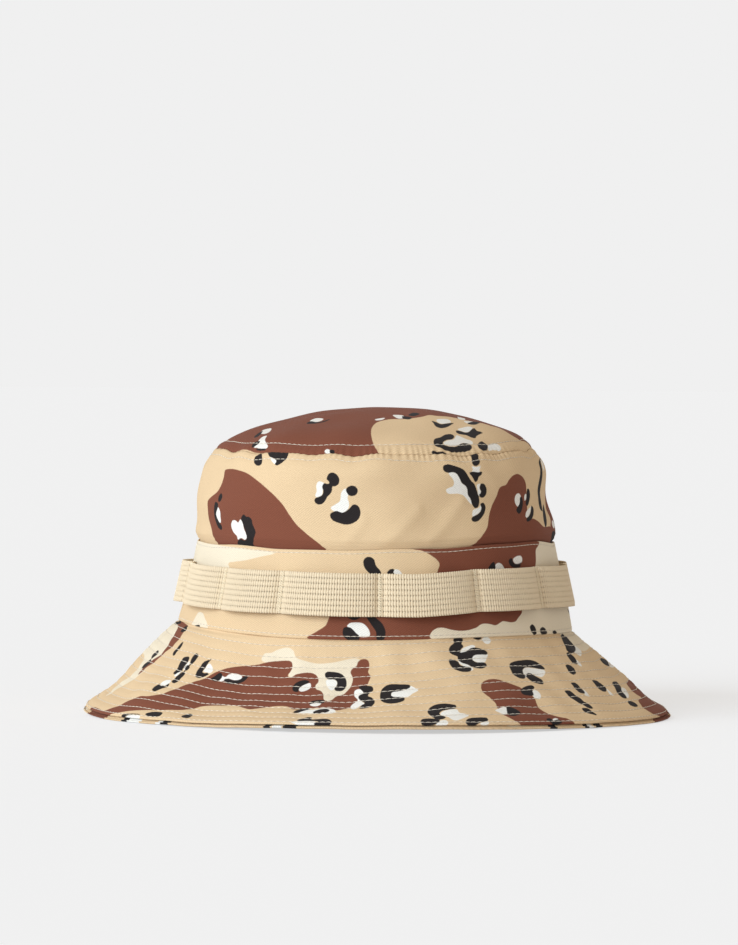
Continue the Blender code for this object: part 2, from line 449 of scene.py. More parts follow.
@dataclass
class Print:
    """The camouflage on one panel, kept as the distance to the nearest edge of each colour."""

    panel: Panel
    far: float = 0.006
    layers: dict[Cast, np.ndarray] = field(default_factory=dict)

    def __post_init__(self) -> None:
        """Starts with bare tan cloth."""
        shape = self.panel.flat.shape[:2]
        self.layers = {cast: np.full(shape, self.far) for cast in Cast}

    def add_loop(self, cast: Cast, loop: np.ndarray) -> None:
        """Prints a closed loop of flat places in one colour."""
        low, high = loop.min(0) - self.far, loop.max(0) + self.far
        flat = self.panel.flat
        near = np.all((flat > low) & (flat < high), -1)
        if near.any():
            distance = loop_distance(flat[near], loop)
            self.layers[cast][near] = np.minimum(self.layers[cast][near], distance)

    def add_patches(self, camera: PhotoCamera, patches: Iterable[Patch]) -> None:
        """Prints the shapes that the photograph shows on this panel."""
        shown = camera.to_pixels(self.panel.points)
        hidden = self.panel.facing(camera) <= 0.0
        for patch in patches:
            corners = [self.panel.flat_at(shown, hidden, pixel) for pixel in patch.outline]
            corners += [self.panel.spot(math.radians(a), 0.001 * d) for a, d in patch.behind]
            self.add_loop(patch.cast, smooth_loop(np.array(corners)))


@dataclass(frozen=True)
class Scatter:
    """More camouflage of the same kind, for cloth that the photograph doesn't show."""

    seed: int
    blob_spacing: float = 0.062
    blob_size: float = 0.021
    chip_spacing: float = 0.019
    chip_size: float = 0.0034

    def spots(self, draw: np.random.Generator, flat: np.ndarray, spacing: float) -> list[np.ndarray]:
        """Random places on the cloth, at least a spacing apart."""
        kept: list[np.ndarray] = []
        for place in draw.permutation(flat.reshape(-1, 2))[:3000]:
            if not kept or np.min(np.linalg.norm(np.array(kept) - place, axis=-1)) > spacing:
                kept.append(place)
        return kept

    def turned(self, draw: np.random.Generator, shape: np.ndarray) -> np.ndarray:
        """A shape turned by a random angle."""
        angle = draw.uniform(0.0, TURN)
        cos, sin = math.cos(angle), math.sin(angle)
        return shape @ np.array([[cos, sin], [-sin, cos]])

    def blob(self, draw: np.random.Generator, size: float) -> np.ndarray:
        """A long rounded shape with an uneven edge, about the origin."""
        angle = np.linspace(0.0, TURN, 11, endpoint=False)
        reach = size * draw.uniform(0.65, 1.3, 11)
        longer = draw.uniform(1.1, 1.5)
        shape = np.stack([longer * reach * np.cos(angle), reach * np.sin(angle) / longer], -1)
        return smooth_loop(self.turned(draw, shape))

    def pebble(self, draw: np.random.Generator) -> tuple[np.ndarray, np.ndarray]:
        """A white pebble and the black shade that curls round one side of it."""
        size = self.chip_size * draw.uniform(0.75, 1.25)
        arc = np.linspace(-0.62, 0.62, 6) * math.pi
        outer = size * draw.uniform(0.9, 1.25, 6)
        inner = 0.55 * size * draw.uniform(0.8, 1.2, 6)
        line = np.concatenate([outer, inner[::-1]])
        angle = np.concatenate([arc, arc[::-1]])
        longer = draw.uniform(1.0, 1.5)
        shade = np.stack([line * np.cos(angle), longer * line * np.sin(angle)], -1)
        ring = np.linspace(0.0, TURN, 7, endpoint=False)
        reach = size * draw.uniform(0.6, 0.95, 7)
        white = np.stack([reach * np.cos(ring) - 0.35 * size, longer * reach * np.sin(ring)], -1)
        both = self.turned(draw, np.concatenate([white, shade]))
        return smooth_loop(both[:7]), smooth_loop(both[7:])

    def cover(self, printed: Print, facing: np.ndarray) -> None:
        """Prints the part of a panel that faces away from the camera, with whole shapes only.

        Args:
            printed: the panel's camouflage so far.
            facing: how squarely each point looks at the camera.
        """
        draw = np.random.default_rng(self.seed)
        flat = printed.panel.flat[::4, ::3].reshape(-1, 2)
        seen = facing[::4, ::3].ravel() > -0.03

        def hidden(loop: np.ndarray) -> bool:
            """Whether a loop keeps clear of all that the photograph shows."""
            away = np.linalg.norm(flat[:, None] - loop[None, ::6], axis=-1)
            return not seen[np.argmin(away, 0)].any()

        for place in self.spots(draw, flat[~seen], self.blob_spacing):
            shift = draw.uniform(-0.9, 0.9, 2) * self.blob_size
            for cast, middle, size in ((Cast.PALE, place + shift, 0.8), (Cast.BROWN, place, 1.0)):
                loops = [middle + self.blob(draw, size * part * self.blob_size) for part in (1.0, 0.7, 0.45)]
                for loop in [loop for loop in loops if hidden(loop)][:1]:
                    printed.add_loop(cast, loop)
        for place in self.spots(draw, flat[~seen], self.chip_spacing):
            white, black = self.pebble(draw)
            if hidden(place + white) and hidden(place + black):
                printed.add_loop(Cast.WHITE, place + white)
                printed.add_loop(Cast.BLACK, place + black)


# Finishes


class Graph:
    """Adds nodes and links to a node tree."""

    def __init__(self, tree: bpy.types.NodeTree) -> None:
        """Starts on a tree."""
        self.tree = tree

    def add(self, kind: str, inputs: dict | None = None, **settings) -> bpy.types.Node:
        """Adds a node.

        Args:
            kind: type of the node.
            inputs: values or output sockets for its inputs, by name or number.
            settings: values of the node's own properties.

        Returns:
            The new node.
        """
        node = self.tree.nodes.new(kind)
        for name, value in settings.items():
            setattr(node, name, value)
        for key, value in (inputs or {}).items():
            if isinstance(value, bpy.types.NodeSocket):
                self.tree.links.new(value, node.inputs[key])
            else:
                node.inputs[key].default_value = value
        return node

    def math(self, operation: str, first: object, second: object = 0.0) -> bpy.types.NodeSocket:
        """Output of a maths node."""
        return self.add("ShaderNodeMath", {0: first, 1: second}, operation=operation).outputs[0]

    def mix(self, factor: object, first: object, second: object) -> bpy.types.NodeSocket:
        """Output of a colour mix."""
        node = self.add("ShaderNodeMix", data_type="RGBA")
        for key, value in ((0, factor), (6, first), (7, second)):
            if isinstance(value, bpy.types.NodeSocket):
                self.tree.links.new(value, node.inputs[key])
            else:
                node.inputs[key].default_value = value if key == 0 else (*value, 1.0)
        return node.outputs[2]


def new_material(name: str) -> tuple[bpy.types.Material, Graph, bpy.types.Node]:
    """A material with a Principled shader, its graph and that shader."""
    material = bpy.data.materials.new(name)
    material.use_nodes = True
    graph = Graph(material.node_tree)
    return material, graph, material.node_tree.nodes["Principled BSDF"]


@dataclass(frozen=True)
class TwillFinish:
    """Printed cotton twill: a tan ground, four printed colours and a diagonal weave."""

    tan: Colour = (0.72, 0.527, 0.321)
    pale: Colour = (0.79, 0.69, 0.53)
    brown: Colour = (0.205, 0.068, 0.040)
    white: Colour = (0.84, 0.82, 0.77)
    black: Colour = (0.022, 0.018, 0.018)
    edge: float = 0.00016
    twill_pitch: float = 0.00085
    twill_lean: float = math.radians(58.0)
    roughness: float = 0.86
    sheen: float = 0.03

    def make(self, name: str = "camouflage_twill") -> bpy.types.Material:
        """Builds the material; it reads the print's distances and the flat cloth's UV map."""
        material, graph, shader = new_material(name)
        uv = graph.add("ShaderNodeUVMap", uv_map="flat").outputs[0]
        place = graph.add("ShaderNodeMapping", {0: uv, 2: (0.0, 0.0, self.twill_lean)}).outputs[0]
        blotch = graph.add("ShaderNodeTexNoise", {"Vector": uv, "Scale": 55.0, "Detail": 4.0}).outputs[0]
        speckle = graph.add("ShaderNodeTexNoise", {"Vector": uv, "Scale": 1600.0, "Detail": 2.0}).outputs[0]
        wave = graph.add(
            "ShaderNodeTexWave",
            {"Vector": place, "Scale": TURN / (20.0 * self.twill_pitch), "Distortion": 0.6,
             "Detail": 2.0, "Detail Scale": 900.0},
        ).outputs[1]
        ragged = graph.math("MULTIPLY", graph.math("SUBTRACT", speckle, 0.5), 2.0 * self.edge)
        colour = graph.mix(blotch, tuple(0.96 * c for c in self.tan), tuple(1.04 * c for c in self.tan))
        inks = {Cast.PALE: self.pale, Cast.BROWN: self.brown, Cast.WHITE: self.white, Cast.BLACK: self.black}
        for cast, ink in inks.items():
            distance = graph.add("ShaderNodeAttribute", attribute_name=cast.value).outputs["Fac"]
            fuzzy = graph.math("ADD", distance, ragged)
            cover = graph.add(
                "ShaderNodeMapRange", {0: fuzzy, 1: self.edge, 2: -self.edge, 3: 0.0, 4: 1.0}
            ).outputs[0]
            colour = graph.mix(cover, colour, ink)
        woven = graph.math("ADD", graph.math("MULTIPLY", wave, 0.14), graph.math("MULTIPLY", speckle, 0.30))
        shade = graph.math("ADD", woven, 0.78)
        tinted = graph.add(
            "ShaderNodeMix", {6: colour, 0: 1.0}, data_type="RGBA", blend_type="MULTIPLY"
        )
        grey = graph.add("ShaderNodeCombineColor", {0: shade, 1: shade, 2: shade}).outputs[0]
        graph.tree.links.new(grey, tinted.inputs[7])
        reverse = graph.add("ShaderNodeAttribute", attribute_name="reverse").outputs["Fac"]
        faded = graph.math("MULTIPLY", reverse, 0.55)
        final = graph.mix(faded, tinted.outputs[2], tuple(0.95 * c for c in self.pale))
        graph.tree.links.new(final, shader.inputs["Base Color"])
        relief = graph.math("ADD", wave, graph.math("MULTIPLY", speckle, 0.6))
        bump_node = graph.add("ShaderNodeBump", {"Strength": 0.22, "Distance": 0.0003, "Height": relief})
        graph.tree.links.new(bump_node.outputs[0], shader.inputs["Normal"])
        shader.inputs["Roughness"].default_value = self.roughness
        shader.inputs["Sheen Weight"].default_value = self.sheen
        shader.inputs["Specular IOR Level"].default_value = 0.1
        return material


@dataclass(frozen=True)
class PlainClothFinish:
    """Cloth or thread of one colour, with painted shade where its "depth" value says that it lies deep."""

    name: str
    colour: Colour
    thread_pitch: float = 0.0007
    roughness: float = 0.9
    contrast: float = 0.12
    # How strongly shade is painted into the hollows that the "depth" value marks.
    painted_shade: float = 0.55

    def make(self) -> bpy.types.Material:
        """Builds the material on Object coordinates."""
        material, graph, shader = new_material(self.name)
        place = graph.add("ShaderNodeTexCoord").outputs["Object"]
        fine = graph.add(
            "ShaderNodeTexNoise", {"Vector": place, "Scale": 0.6 / self.thread_pitch, "Detail": 3.0}
        ).outputs[0]
        broad = graph.add("ShaderNodeTexNoise", {"Vector": place, "Scale": 90.0, "Detail": 3.0}).outputs[0]
        both = graph.math("ADD", graph.math("MULTIPLY", fine, 0.6), graph.math("MULTIPLY", broad, 0.4))
        dark = tuple((1.0 - self.contrast) * c for c in self.colour)
        light = tuple(min(1.0, (1.0 + self.contrast) * c) for c in self.colour)
        # Painted shade: where the "depth" value is high, the colour is mixed towards a quarter of itself.
        depth = graph.add("ShaderNodeAttribute", attribute_name="depth").outputs["Fac"]
        painted_shade_mask = graph.math("MULTIPLY", depth, self.painted_shade)
        shaded = graph.mix(painted_shade_mask, graph.mix(both, dark, light), tuple(0.25 * c for c in self.colour))
        graph.tree.links.new(shaded, shader.inputs["Base Color"])
        bump_node = graph.add("ShaderNodeBump", {"Strength": 0.3, "Distance": 0.0002, "Height": fine})
        graph.tree.links.new(bump_node.outputs[0], shader.inputs["Normal"])
        shader.inputs["Roughness"].default_value = self.roughness
        shader.inputs["Specular IOR Level"].default_value = 0.1
        return material


# Meshes


def add_mesh(name: str, points: np.ndarray, faces: list, material: bpy.types.Material) -> bpy.types.Object:
    """A smooth mesh object with its normals facing out.

    Args:
        name: name of the piece.
        points: one row for each vertex.
        faces: vertex numbers of each face.
        material: its finish.

    Returns:
        The new object, in the scene.
    """
    mesh = bpy.data.meshes.new(name)
    mesh.from_pydata(points.tolist(), [], faces)
    work = bmesh.new()
    work.from_mesh(mesh)
    bmesh.ops.recalc_face_normals(work, faces=work.faces)
    work.to_mesh(mesh)
    work.free()
    mesh.shade_smooth()
    mesh.materials.append(material)
    piece = bpy.data.objects.new(name, mesh)
    bpy.context.scene.collection.objects.link(piece)
    return piece


def quads(first: np.ndarray, second: np.ndarray) -> list:
    """Faces between two lines of vertex numbers of the same length."""
    return np.stack([first[:-1], second[:-1], second[1:], first[1:]], -1).tolist()


def cloth_piece(
    name: str, panel: Panel, thickness: float, material: bpy.types.Material, printed: Print | None = None
) -> bpy.types.Object:
    """Makes a panel a closed layer of cloth.

    Args:
        name: name of the piece.
        panel: its printed face.
        thickness: thickness of the cloth.
        material: its finish.
        printed: the camouflage on it, if any.

    Returns:
        The new piece.
    """
    columns, rows = panel.points.shape[:2]
    inner = panel.points - panel.normals() * thickness
    points = np.concatenate([panel.points.reshape(-1, 3), inner.reshape(-1, 3)])
    outer_id = np.arange(columns * rows).reshape(columns, rows)
    if panel.wraps:
        outer_id = np.concatenate([outer_id, outer_id[:1]])
    inner_id = outer_id + columns * rows
    faces = []
    for ids in (outer_id, inner_id):
        for here, there in zip(ids[:-1], ids[1:]):
            faces += quads(here, there)
    faces += quads(outer_id[:, -1], inner_id[:, -1])
    if panel.wraps:
        faces.append(outer_id[:-1, 0].tolist())
        faces.append(inner_id[:-1, 0].tolist())
    else:
        faces += quads(outer_id[:, 0], inner_id[:, 0])
        faces += quads(outer_id[0], inner_id[0]) + quads(outer_id[-1], inner_id[-1])
    piece = add_mesh(name, points, faces, material)
    mesh = piece.data
    flat = np.concatenate([panel.flat.reshape(-1, 2)] * 2)
    corner = np.empty(len(mesh.loops), np.int32)
    mesh.loops.foreach_get("vertex_index", corner)
    mesh.uv_layers.new(name="flat").data.foreach_set("uv", flat[corner].ravel())
    left = np.linalg.norm(panel.flat - panel.flat[:, -1:], axis=-1)
    inside = (left >= panel.hem).astype(float).ravel()
    add_values(mesh, "reverse", np.concatenate([np.zeros_like(inside), inside]))
    if printed is not None:
        for cast, layer in printed.layers.items():
            add_values(mesh, cast.value, np.tile(layer.ravel(), 2))
    return piece


def add_values(mesh: bpy.types.Mesh, name: str, values: np.ndarray) -> None:
    """Keeps one number for each vertex under a name."""
    mesh.attributes.new(name, "FLOAT", "POINT").data.foreach_set("value", values.astype(np.float32))


def settle(piece: bpy.types.Object, slot: str, *nodes: str) -> bpy.types.Object:
    """Hands a finished piece to the frame.

    Args:
        piece: the finished piece.
        slot: name of a material slot; not used.
        nodes: solids that the piece stands for.

    Returns:
        The same piece.
    """
    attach(piece, BODY)
    if nodes:
        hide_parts(*nodes)
    LOG.info("%s: %d faces", piece.name, len(piece.data.polygons))
    return piece


# Stitches and weave, repeated along rows


@dataclass(frozen=True)
class Row:
    """A line on a cloth face that something repeats along."""

    points: np.ndarray
    normals: np.ndarray
    closed: bool = False


class Repeat(Enum):
    """What a row tree repeats along its rows."""

    STITCH = "stitch"
    RIB = "rib"


@dataclass(frozen=True)
class RowTree:
    """Geometry nodes that set stitches or woven ribs along rows.

    Attributes:
        kind: what is repeated.
        pitch: distance from one to the next along the row.
        length: length of each.
        width: width of each.
        height: how far each stands up.
        turn: turn about the cloth's normal.
        jitter: largest random turn.
        seed: seed of the random turns.
        resample: whether the rows are spaced again, or one stands at each point of a row.
    """

    kind: Repeat
    pitch: float
    length: float
    width: float
    height: float
    turn: float = 0.0
    jitter: float = 0.0
    seed: int = 1
    resample: bool = True

    def shape(self, graph: Graph, given: bpy.types.Node) -> bpy.types.NodeSocket:
        """Nodes for one stitch or rib, along X with Z up off the cloth."""
        if self.kind is Repeat.RIB:
            size = graph.add("ShaderNodeCombineXYZ", {0: given.outputs["Length"], 1: given.outputs["Width"],
                                                      2: given.outputs["Height"]}).outputs[0]
            cube = graph.add("GeometryNodeMeshCube", {"Size": size})
            return graph.add("GeometryNodeSubdivisionSurface", {"Mesh": cube.outputs[0], "Level": 1,
                                                                "Edge Crease": 0.35}).outputs[0]
        half = graph.math("MULTIPLY", given.outputs["Length"], 0.5)
        back = graph.math("MULTIPLY", half, -1.0)
        under = graph.math("MULTIPLY", given.outputs["Width"], -0.35)
        start = graph.add("ShaderNodeCombineXYZ", {0: back, 2: under}).outputs[0]
        middle = graph.add("ShaderNodeCombineXYZ", {2: given.outputs["Height"]}).outputs[0]
        end = graph.add("ShaderNodeCombineXYZ", {0: half, 2: under}).outputs[0]
        arc = graph.add("GeometryNodeCurveQuadraticBezier", {"Resolution": 6, "Start": start, "Middle": middle,
                                                             "End": end}).outputs[0]
        radius = graph.math("MULTIPLY", given.outputs["Width"], 0.5)
        ring = graph.add("GeometryNodeCurvePrimitiveCircle", {"Resolution": 5, "Radius": radius}).outputs[0]
        thread = graph.add("GeometryNodeCurveToMesh", {"Curve": arc, "Profile Curve": ring,
                                                       "Fill Caps": True}).outputs[0]
        # A stitch's ends get a high "depth" value, which the thread finish turns into painted shade where the thread
        # dips into the cloth.
        place = graph.add("GeometryNodeInputPosition").outputs[0]
        along = graph.add("ShaderNodeSeparateXYZ", {0: place}).outputs[0]
        depth = graph.math("DIVIDE", graph.math("ABSOLUTE", along), half)
        return graph.add("GeometryNodeStoreNamedAttribute", {"Geometry": thread, "Name": "depth", "Value": depth},
                         data_type="FLOAT", domain="POINT").outputs[0]

    def tree(self, material: bpy.types.Material) -> tuple[bpy.types.NodeTree, dict[str, object]]:
        """Builds the node tree.

        Args:
            material: finish of what is repeated.

        Returns:
            The tree, and the values of its inputs by socket identifier.
        """
        tree = bpy.data.node_groups.new(f"{self.kind.value}_row", "GeometryNodeTree")
        tree.interface.new_socket("Rows", in_out="INPUT", socket_type="NodeSocketGeometry")
        values: dict[str, object] = {}
        sizes = {"Pitch": self.pitch, "Length": self.length, "Width": self.width, "Height": self.height,
                 "Turn": self.turn, "Jitter": self.jitter}
        for name, value in sizes.items():
            socket = tree.interface.new_socket(name, in_out="INPUT", socket_type="NodeSocketFloat")
            values[socket.identifier] = value
        socket = tree.interface.new_socket("Seed", in_out="INPUT", socket_type="NodeSocketInt")
        values[socket.identifier] = self.seed
        socket = tree.interface.new_socket("Finish", in_out="INPUT", socket_type="NodeSocketMaterial")
        values[socket.identifier] = material
        tree.interface.new_socket("Result", in_out="OUTPUT", socket_type="NodeSocketGeometry")
        graph = Graph(tree)
        given = graph.add("NodeGroupInput")
        curve = graph.add("GeometryNodeMeshToCurve", {0: given.outputs["Rows"]}).outputs[0]
        spaced = curve
        if self.resample:
            spaced = graph.add("GeometryNodeResampleCurve", {"Curve": curve, "Length": given.outputs["Pitch"]},
                               mode="LENGTH").outputs[0]
        normal = graph.add("GeometryNodeInputNamedAttribute", {"Name": "row_normal"},
                           data_type="FLOAT_VECTOR").outputs[0]
        tangent = graph.add("GeometryNodeInputTangent").outputs[0]
        aligned = graph.add("FunctionNodeAxesToRotation", {0: normal, 1: tangent}, primary_axis="Z",
                            secondary_axis="X").outputs[0]
        least = graph.math("MULTIPLY", given.outputs["Jitter"], -1.0)
        drawn = graph.add("FunctionNodeRandomValue", {2: least, 3: given.outputs["Jitter"],
                                                      "Seed": given.outputs["Seed"]}, data_type="FLOAT")
        angle = graph.math("ADD", given.outputs["Turn"], drawn.outputs[1])
        spin = graph.add("FunctionNodeAxisAngleToRotation", {"Axis": (0.0, 0.0, 1.0), "Angle": angle}).outputs[0]
        rotation = graph.add("FunctionNodeRotateRotation", {0: aligned, 1: spin}, rotation_space="LOCAL").outputs[0]
        copies = graph.add("GeometryNodeInstanceOnPoints", {"Points": spaced, "Instance": self.shape(graph, given),
                                                            "Rotation": rotation}).outputs[0]
        real = graph.add("GeometryNodeRealizeInstances", {0: copies}).outputs[0]
        smooth = graph.add("GeometryNodeSetShadeSmooth", {0: real}).outputs[0]
        done = graph.add("GeometryNodeSetMaterial", {"Geometry": smooth, "Material": given.outputs["Finish"]})
        graph.add("NodeGroupOutput", {0: done.outputs[0]})
        return tree, values

    def make(self, name: str, rows: Sequence[Row], material: bpy.types.Material) -> bpy.types.Object:
        """Makes a plain mesh of everything along the rows.

        Args:
            name: name of the piece.
            rows: lines on the cloth.
            material: finish of what is repeated.

        Returns:
            The new piece.
        """
        points, normals, edges = [], [], []
        for row in rows:
            first, count = len(points), len(row.points)
            points += row.points.tolist()
            normals += row.normals.tolist()
            edges += [(first + step, first + step + 1) for step in range(count - 1)]
            if row.closed:
                edges.append((first + count - 1, first))
        guide_mesh = bpy.data.meshes.new(name + "_rows")
        guide_mesh.from_pydata(points, edges, [])
        stored = guide_mesh.attributes.new("row_normal", "FLOAT_VECTOR", "POINT")
        stored.data.foreach_set("vector", np.array(normals, np.float32).ravel())
        guide = bpy.data.objects.new(name + "_rows", guide_mesh)
        bpy.context.scene.collection.objects.link(guide)
        tree, values = self.tree(material)
        modifier = guide.modifiers.new("Rows", "NODES")
        modifier.node_group = tree
        for identifier, value in values.items():
            modifier[identifier] = value
        bpy.context.view_layer.update()
        graph = bpy.context.evaluated_depsgraph_get()
        mesh = bpy.data.meshes.new_from_object(guide.evaluated_get(graph))
        bpy.data.objects.remove(guide)
        for attribute in [a.name for a in mesh.attributes if a.name == "row_normal"]:
            mesh.attributes.remove(mesh.attributes[attribute])
        mesh.name = name
        piece = bpy.data.objects.new(name, mesh)
        bpy.context.scene.collection.objects.link(piece)
        return piece


# The hat's parts


@dataclass
class Finishes:
    """Every finish of the hat, made once."""

    twill: bpy.types.Material
    webbing: bpy.types.Material
    cotton: bpy.types.Material
    interlining: bpy.types.Material
    tape: bpy.types.Material
    thread: bpy.types.Material
    tack: bpy.types.Material

    @classmethod
    def make(cls) -> Finishes:
        """Builds all materials."""
        return cls(
            twill=TwillFinish().make(),
            # The last value of the webbing, thread and tack finishes sets how much shade is painted into their
            # hollows.
            webbing=PlainClothFinish("loop_webbing", (0.78, 0.645, 0.46), contrast=0.08, painted_shade=0.68).make(),
            cotton=PlainClothFinish("sweatband_cotton", (0.66, 0.55, 0.40)).make(),
            interlining=PlainClothFinish("interlining", (0.80, 0.78, 0.74)).make(),
            tape=PlainClothFinish("seam_tape", (0.62, 0.52, 0.38)).make(),
            thread=PlainClothFinish("thread", (0.93, 0.82, 0.69), thread_pitch=0.0003, painted_shade=0.6).make(),
            tack=PlainClothFinish("tack_thread", (0.90, 0.78, 0.58), thread_pitch=0.0003, painted_shade=0.2).make(),
        )


def ring_angles(columns: int, wraps: bool = False) -> np.ndarray:
    """Angles of the columns of a strip that goes once round from the back, closer at the front."""
    even = np.linspace(-math.pi, math.pi, columns, endpoint=not wraps)[:, None]
    return even - 0.35 * np.sin(even)


@dataclass
class Crown:
    """The top panel, the side strip and the cloth band."""

    sizes: HatSizes
    finishes: Finishes
    camera: PhotoCamera
    dome_power: float = 2.3
    dome_rounding: float = 1.3
    dome_tilt: float = 0.0024
    dome_sink: float = 0.0008
    shoulder_half_width: float = 0.0812
    low_half_width: float = 0.0857
    shoulder_share: float = 0.27
    shoulder_power: float = 2.2
    waist: float = 0.0007
    tuck: float = 0.0010
    cloth: float = 0.0007
    tip_stitch_in: float = 0.0043
    side_stitch_in: float = 0.0035
    band_stitch_in: float = 0.0014
    print_seed: int = 7
    folds: tuple[Fold, ...] = (
        Fold((3.0, 0.042), (15.0, 0.027), 0.0006, 0.0030),
        Fold((17.0, 0.042), (30.0, 0.024), 0.0007, 0.0034),
        Fold((-9.0, 0.042), (-3.0, 0.031), 0.0005, 0.0028),
        Fold((36.0, 0.006), (44.0, 0.016), 0.0005, 0.0030),
    )
    columns: int = 720

    def lean(self, z: np.ndarray) -> np.ndarray:
        """How far the crown is pushed to one side at a height."""
        share = (self.sizes.tip_seam_z - z) / (self.sizes.tip_seam_z - self.sizes.band_top_z)
        return -0.0008 * bump(np.maximum(share - 0.25, 0.0), 0.5) - 0.0021 * bump(share - 0.53, 0.32)

    def seam_wave(self, angle: np.ndarray) -> np.ndarray:
        """How far the top seam wanders up and down."""
        wander = np.sin(19.0 * angle + 0.6) + 0.7 * np.sin(27.0 * angle + 2.0) + 0.6 * np.sin(8.0 * angle)
        return 0.00042 * wander

    def seam_drawn(self, angle: np.ndarray) -> np.ndarray:
        """How far the top seam is drawn up and in over the ears."""
        ear = bump(angle_away(angle, 80.0), math.radians(50.0))
        return 0.0015 * ear + 0.0008 * bump(angle_away(angle, -80.0), math.radians(45.0))

    def pucker(self, angle: np.ndarray, away: np.ndarray) -> np.ndarray:
        """Small folds where the top seam gathers the cloth."""
        along = self.sizes.tip_half_width * angle
        folds = np.sin(TURN * along / 0.0031 + 2.0 * np.sin(TURN * along / 0.021))
        strength = 0.6 + 0.4 * np.sin(angle + 0.2)
        return 0.00028 * folds * strength * np.exp(-((away / 0.0032) ** 2))

    def tip_shares(self) -> np.ndarray:
        """Rings of the top, from near its middle to its seam, close together near the seam."""
        return np.concatenate([np.linspace(0.015, 0.93, 66), np.linspace(0.938, 1.0, 15)])

    def tip_panel(self) -> Panel:
        """The domed top, as rings from near the middle to the seam."""
        sizes = self.sizes
        angle = ring_angles(480, wraps=True)
        share = self.tip_shares()[None, :]
        dome = sizes.crown_top_z - sizes.tip_seam_z
        rise = (1.0 - share**self.dome_power) ** (1.0 / self.dome_rounding)
        edge = np.exp(-((1.0 - share) / 0.05) ** 2)
        drawn = self.seam_drawn(angle) * np.exp(-((1.0 - share) / 0.14) ** 2)
        z = sizes.tip_seam_z + dome * rise + self.seam_wave(angle) * edge + drawn
        points = sizes.place(sizes.tip_half_width * share - drawn, angle, z)
        points[..., 0] += self.lean(z)
        panel = Panel(points, points[..., :2].copy(), lambda a, d: sizes.place(d, a, 0.0)[..., :2], wraps=True)
        away = sizes.tip_half_width * (1.0 - share)
        x, y = panel.flat[..., 0], panel.flat[..., 1]
        height = Crumple(0.00045, 0.045, 11).at(x, y) * (1.0 - edge)
        height = height + self.dome_tilt * share * np.sin(angle) * (1.0 - share**6) - self.dome_sink * (1.0 - share**4)
        height = height + self.pucker(angle, away) - 0.00022 * bump(away - self.tip_stitch_in, 0.0012)
        height = height - 0.00025 * np.exp(-((away / 0.0007) ** 2))
        panel.raise_by(height)
        return panel

    def side_line(self, rows: int, hidden: int) -> tuple[np.ndarray, np.ndarray]:
        """Half-widths and heights down the side: shoulder, cone, and the part under the band."""
        sizes = self.sizes
        top, step = sizes.tip_seam_z, sizes.band_top_z + 0.0014
        share = np.linspace(0.0, 1.0, rows) ** 1.15
        cone = self.shoulder_half_width + (self.low_half_width - self.shoulder_half_width) * share
        shoulder = np.clip(1.0 - share / self.shoulder_share, 0.0, 1.0) ** self.shoulder_power
        half_width = cone - (self.shoulder_half_width - sizes.tip_half_width) * shoulder
        half_width = half_width - self.waist * np.sin(math.pi * share) ** 2 - self.tuck * bump(share - 1.0, 0.07)
        z = top + (step - top) * share
        low_z = np.linspace(sizes.band_top_z + 0.0002, sizes.brim_seam_z, hidden)
        low = sizes.band_half_width(low_z) - 0.0013
        return np.concatenate([half_width, low]), np.concatenate([z, low_z])

    def side_panel(self) -> Panel:
        """The side strip, from the top seam to the brim seam."""
        sizes = self.sizes
        angle = ring_angles(self.columns)
        half_width, z = self.side_line(54, 8)
        seam = np.exp(-(((z - z[0]) / 0.006) ** 2))
        drawn = self.seam_drawn(angle) * np.exp(-(((z - z[0]) / 0.010) ** 2))
        hung = z + self.seam_wave(angle) * seam + drawn - sizes.dip(angle, z[None, :]) + sizes.rise(angle, z)
        points = sizes.place(half_width - drawn, angle, hung + sizes.band_wave(angle, z))
        points[..., 0] += self.lean(z)
        down = np.concatenate([[0.0], np.cumsum(np.hypot(np.diff(half_width), np.diff(z)))])[None, :]
        along = angle * (self.low_half_width + 0.5 * sizes.oval_extra)
        flat = np.stack(np.broadcast_arrays(along, -down), -1)
        radius = self.low_half_width + 0.5 * sizes.oval_extra
        panel = Panel(points, flat, lambda a, d: np.array([a * radius, -d]))
        free = np.clip(down / 0.008, 0.0, 1.0) * np.clip((z - sizes.band_top_z) / 0.006, 0.0, 1.0)
        height = Crumple(0.00055, 0.040, 21).at(along, down) * free
        for fold in self.folds:
            height = height + fold.at(angle, down, radius) * free
        height = height + self.pucker(angle, down) - 0.00020 * bump(down - self.side_stitch_in, 0.0012)
        height = height - 0.00025 * np.exp(-((down / 0.0007) ** 2)) - self.back_seam(angle)
        panel.raise_by(height)
        return panel

    def back_seam(self, angle: np.ndarray) -> np.ndarray:
        """Depth of the groove where a strip's ends meet at the back."""
        away = (math.pi - np.abs(angle)) * self.sizes.head_half_width
        return 0.0005 * np.exp(-((away / 0.0009) ** 2))

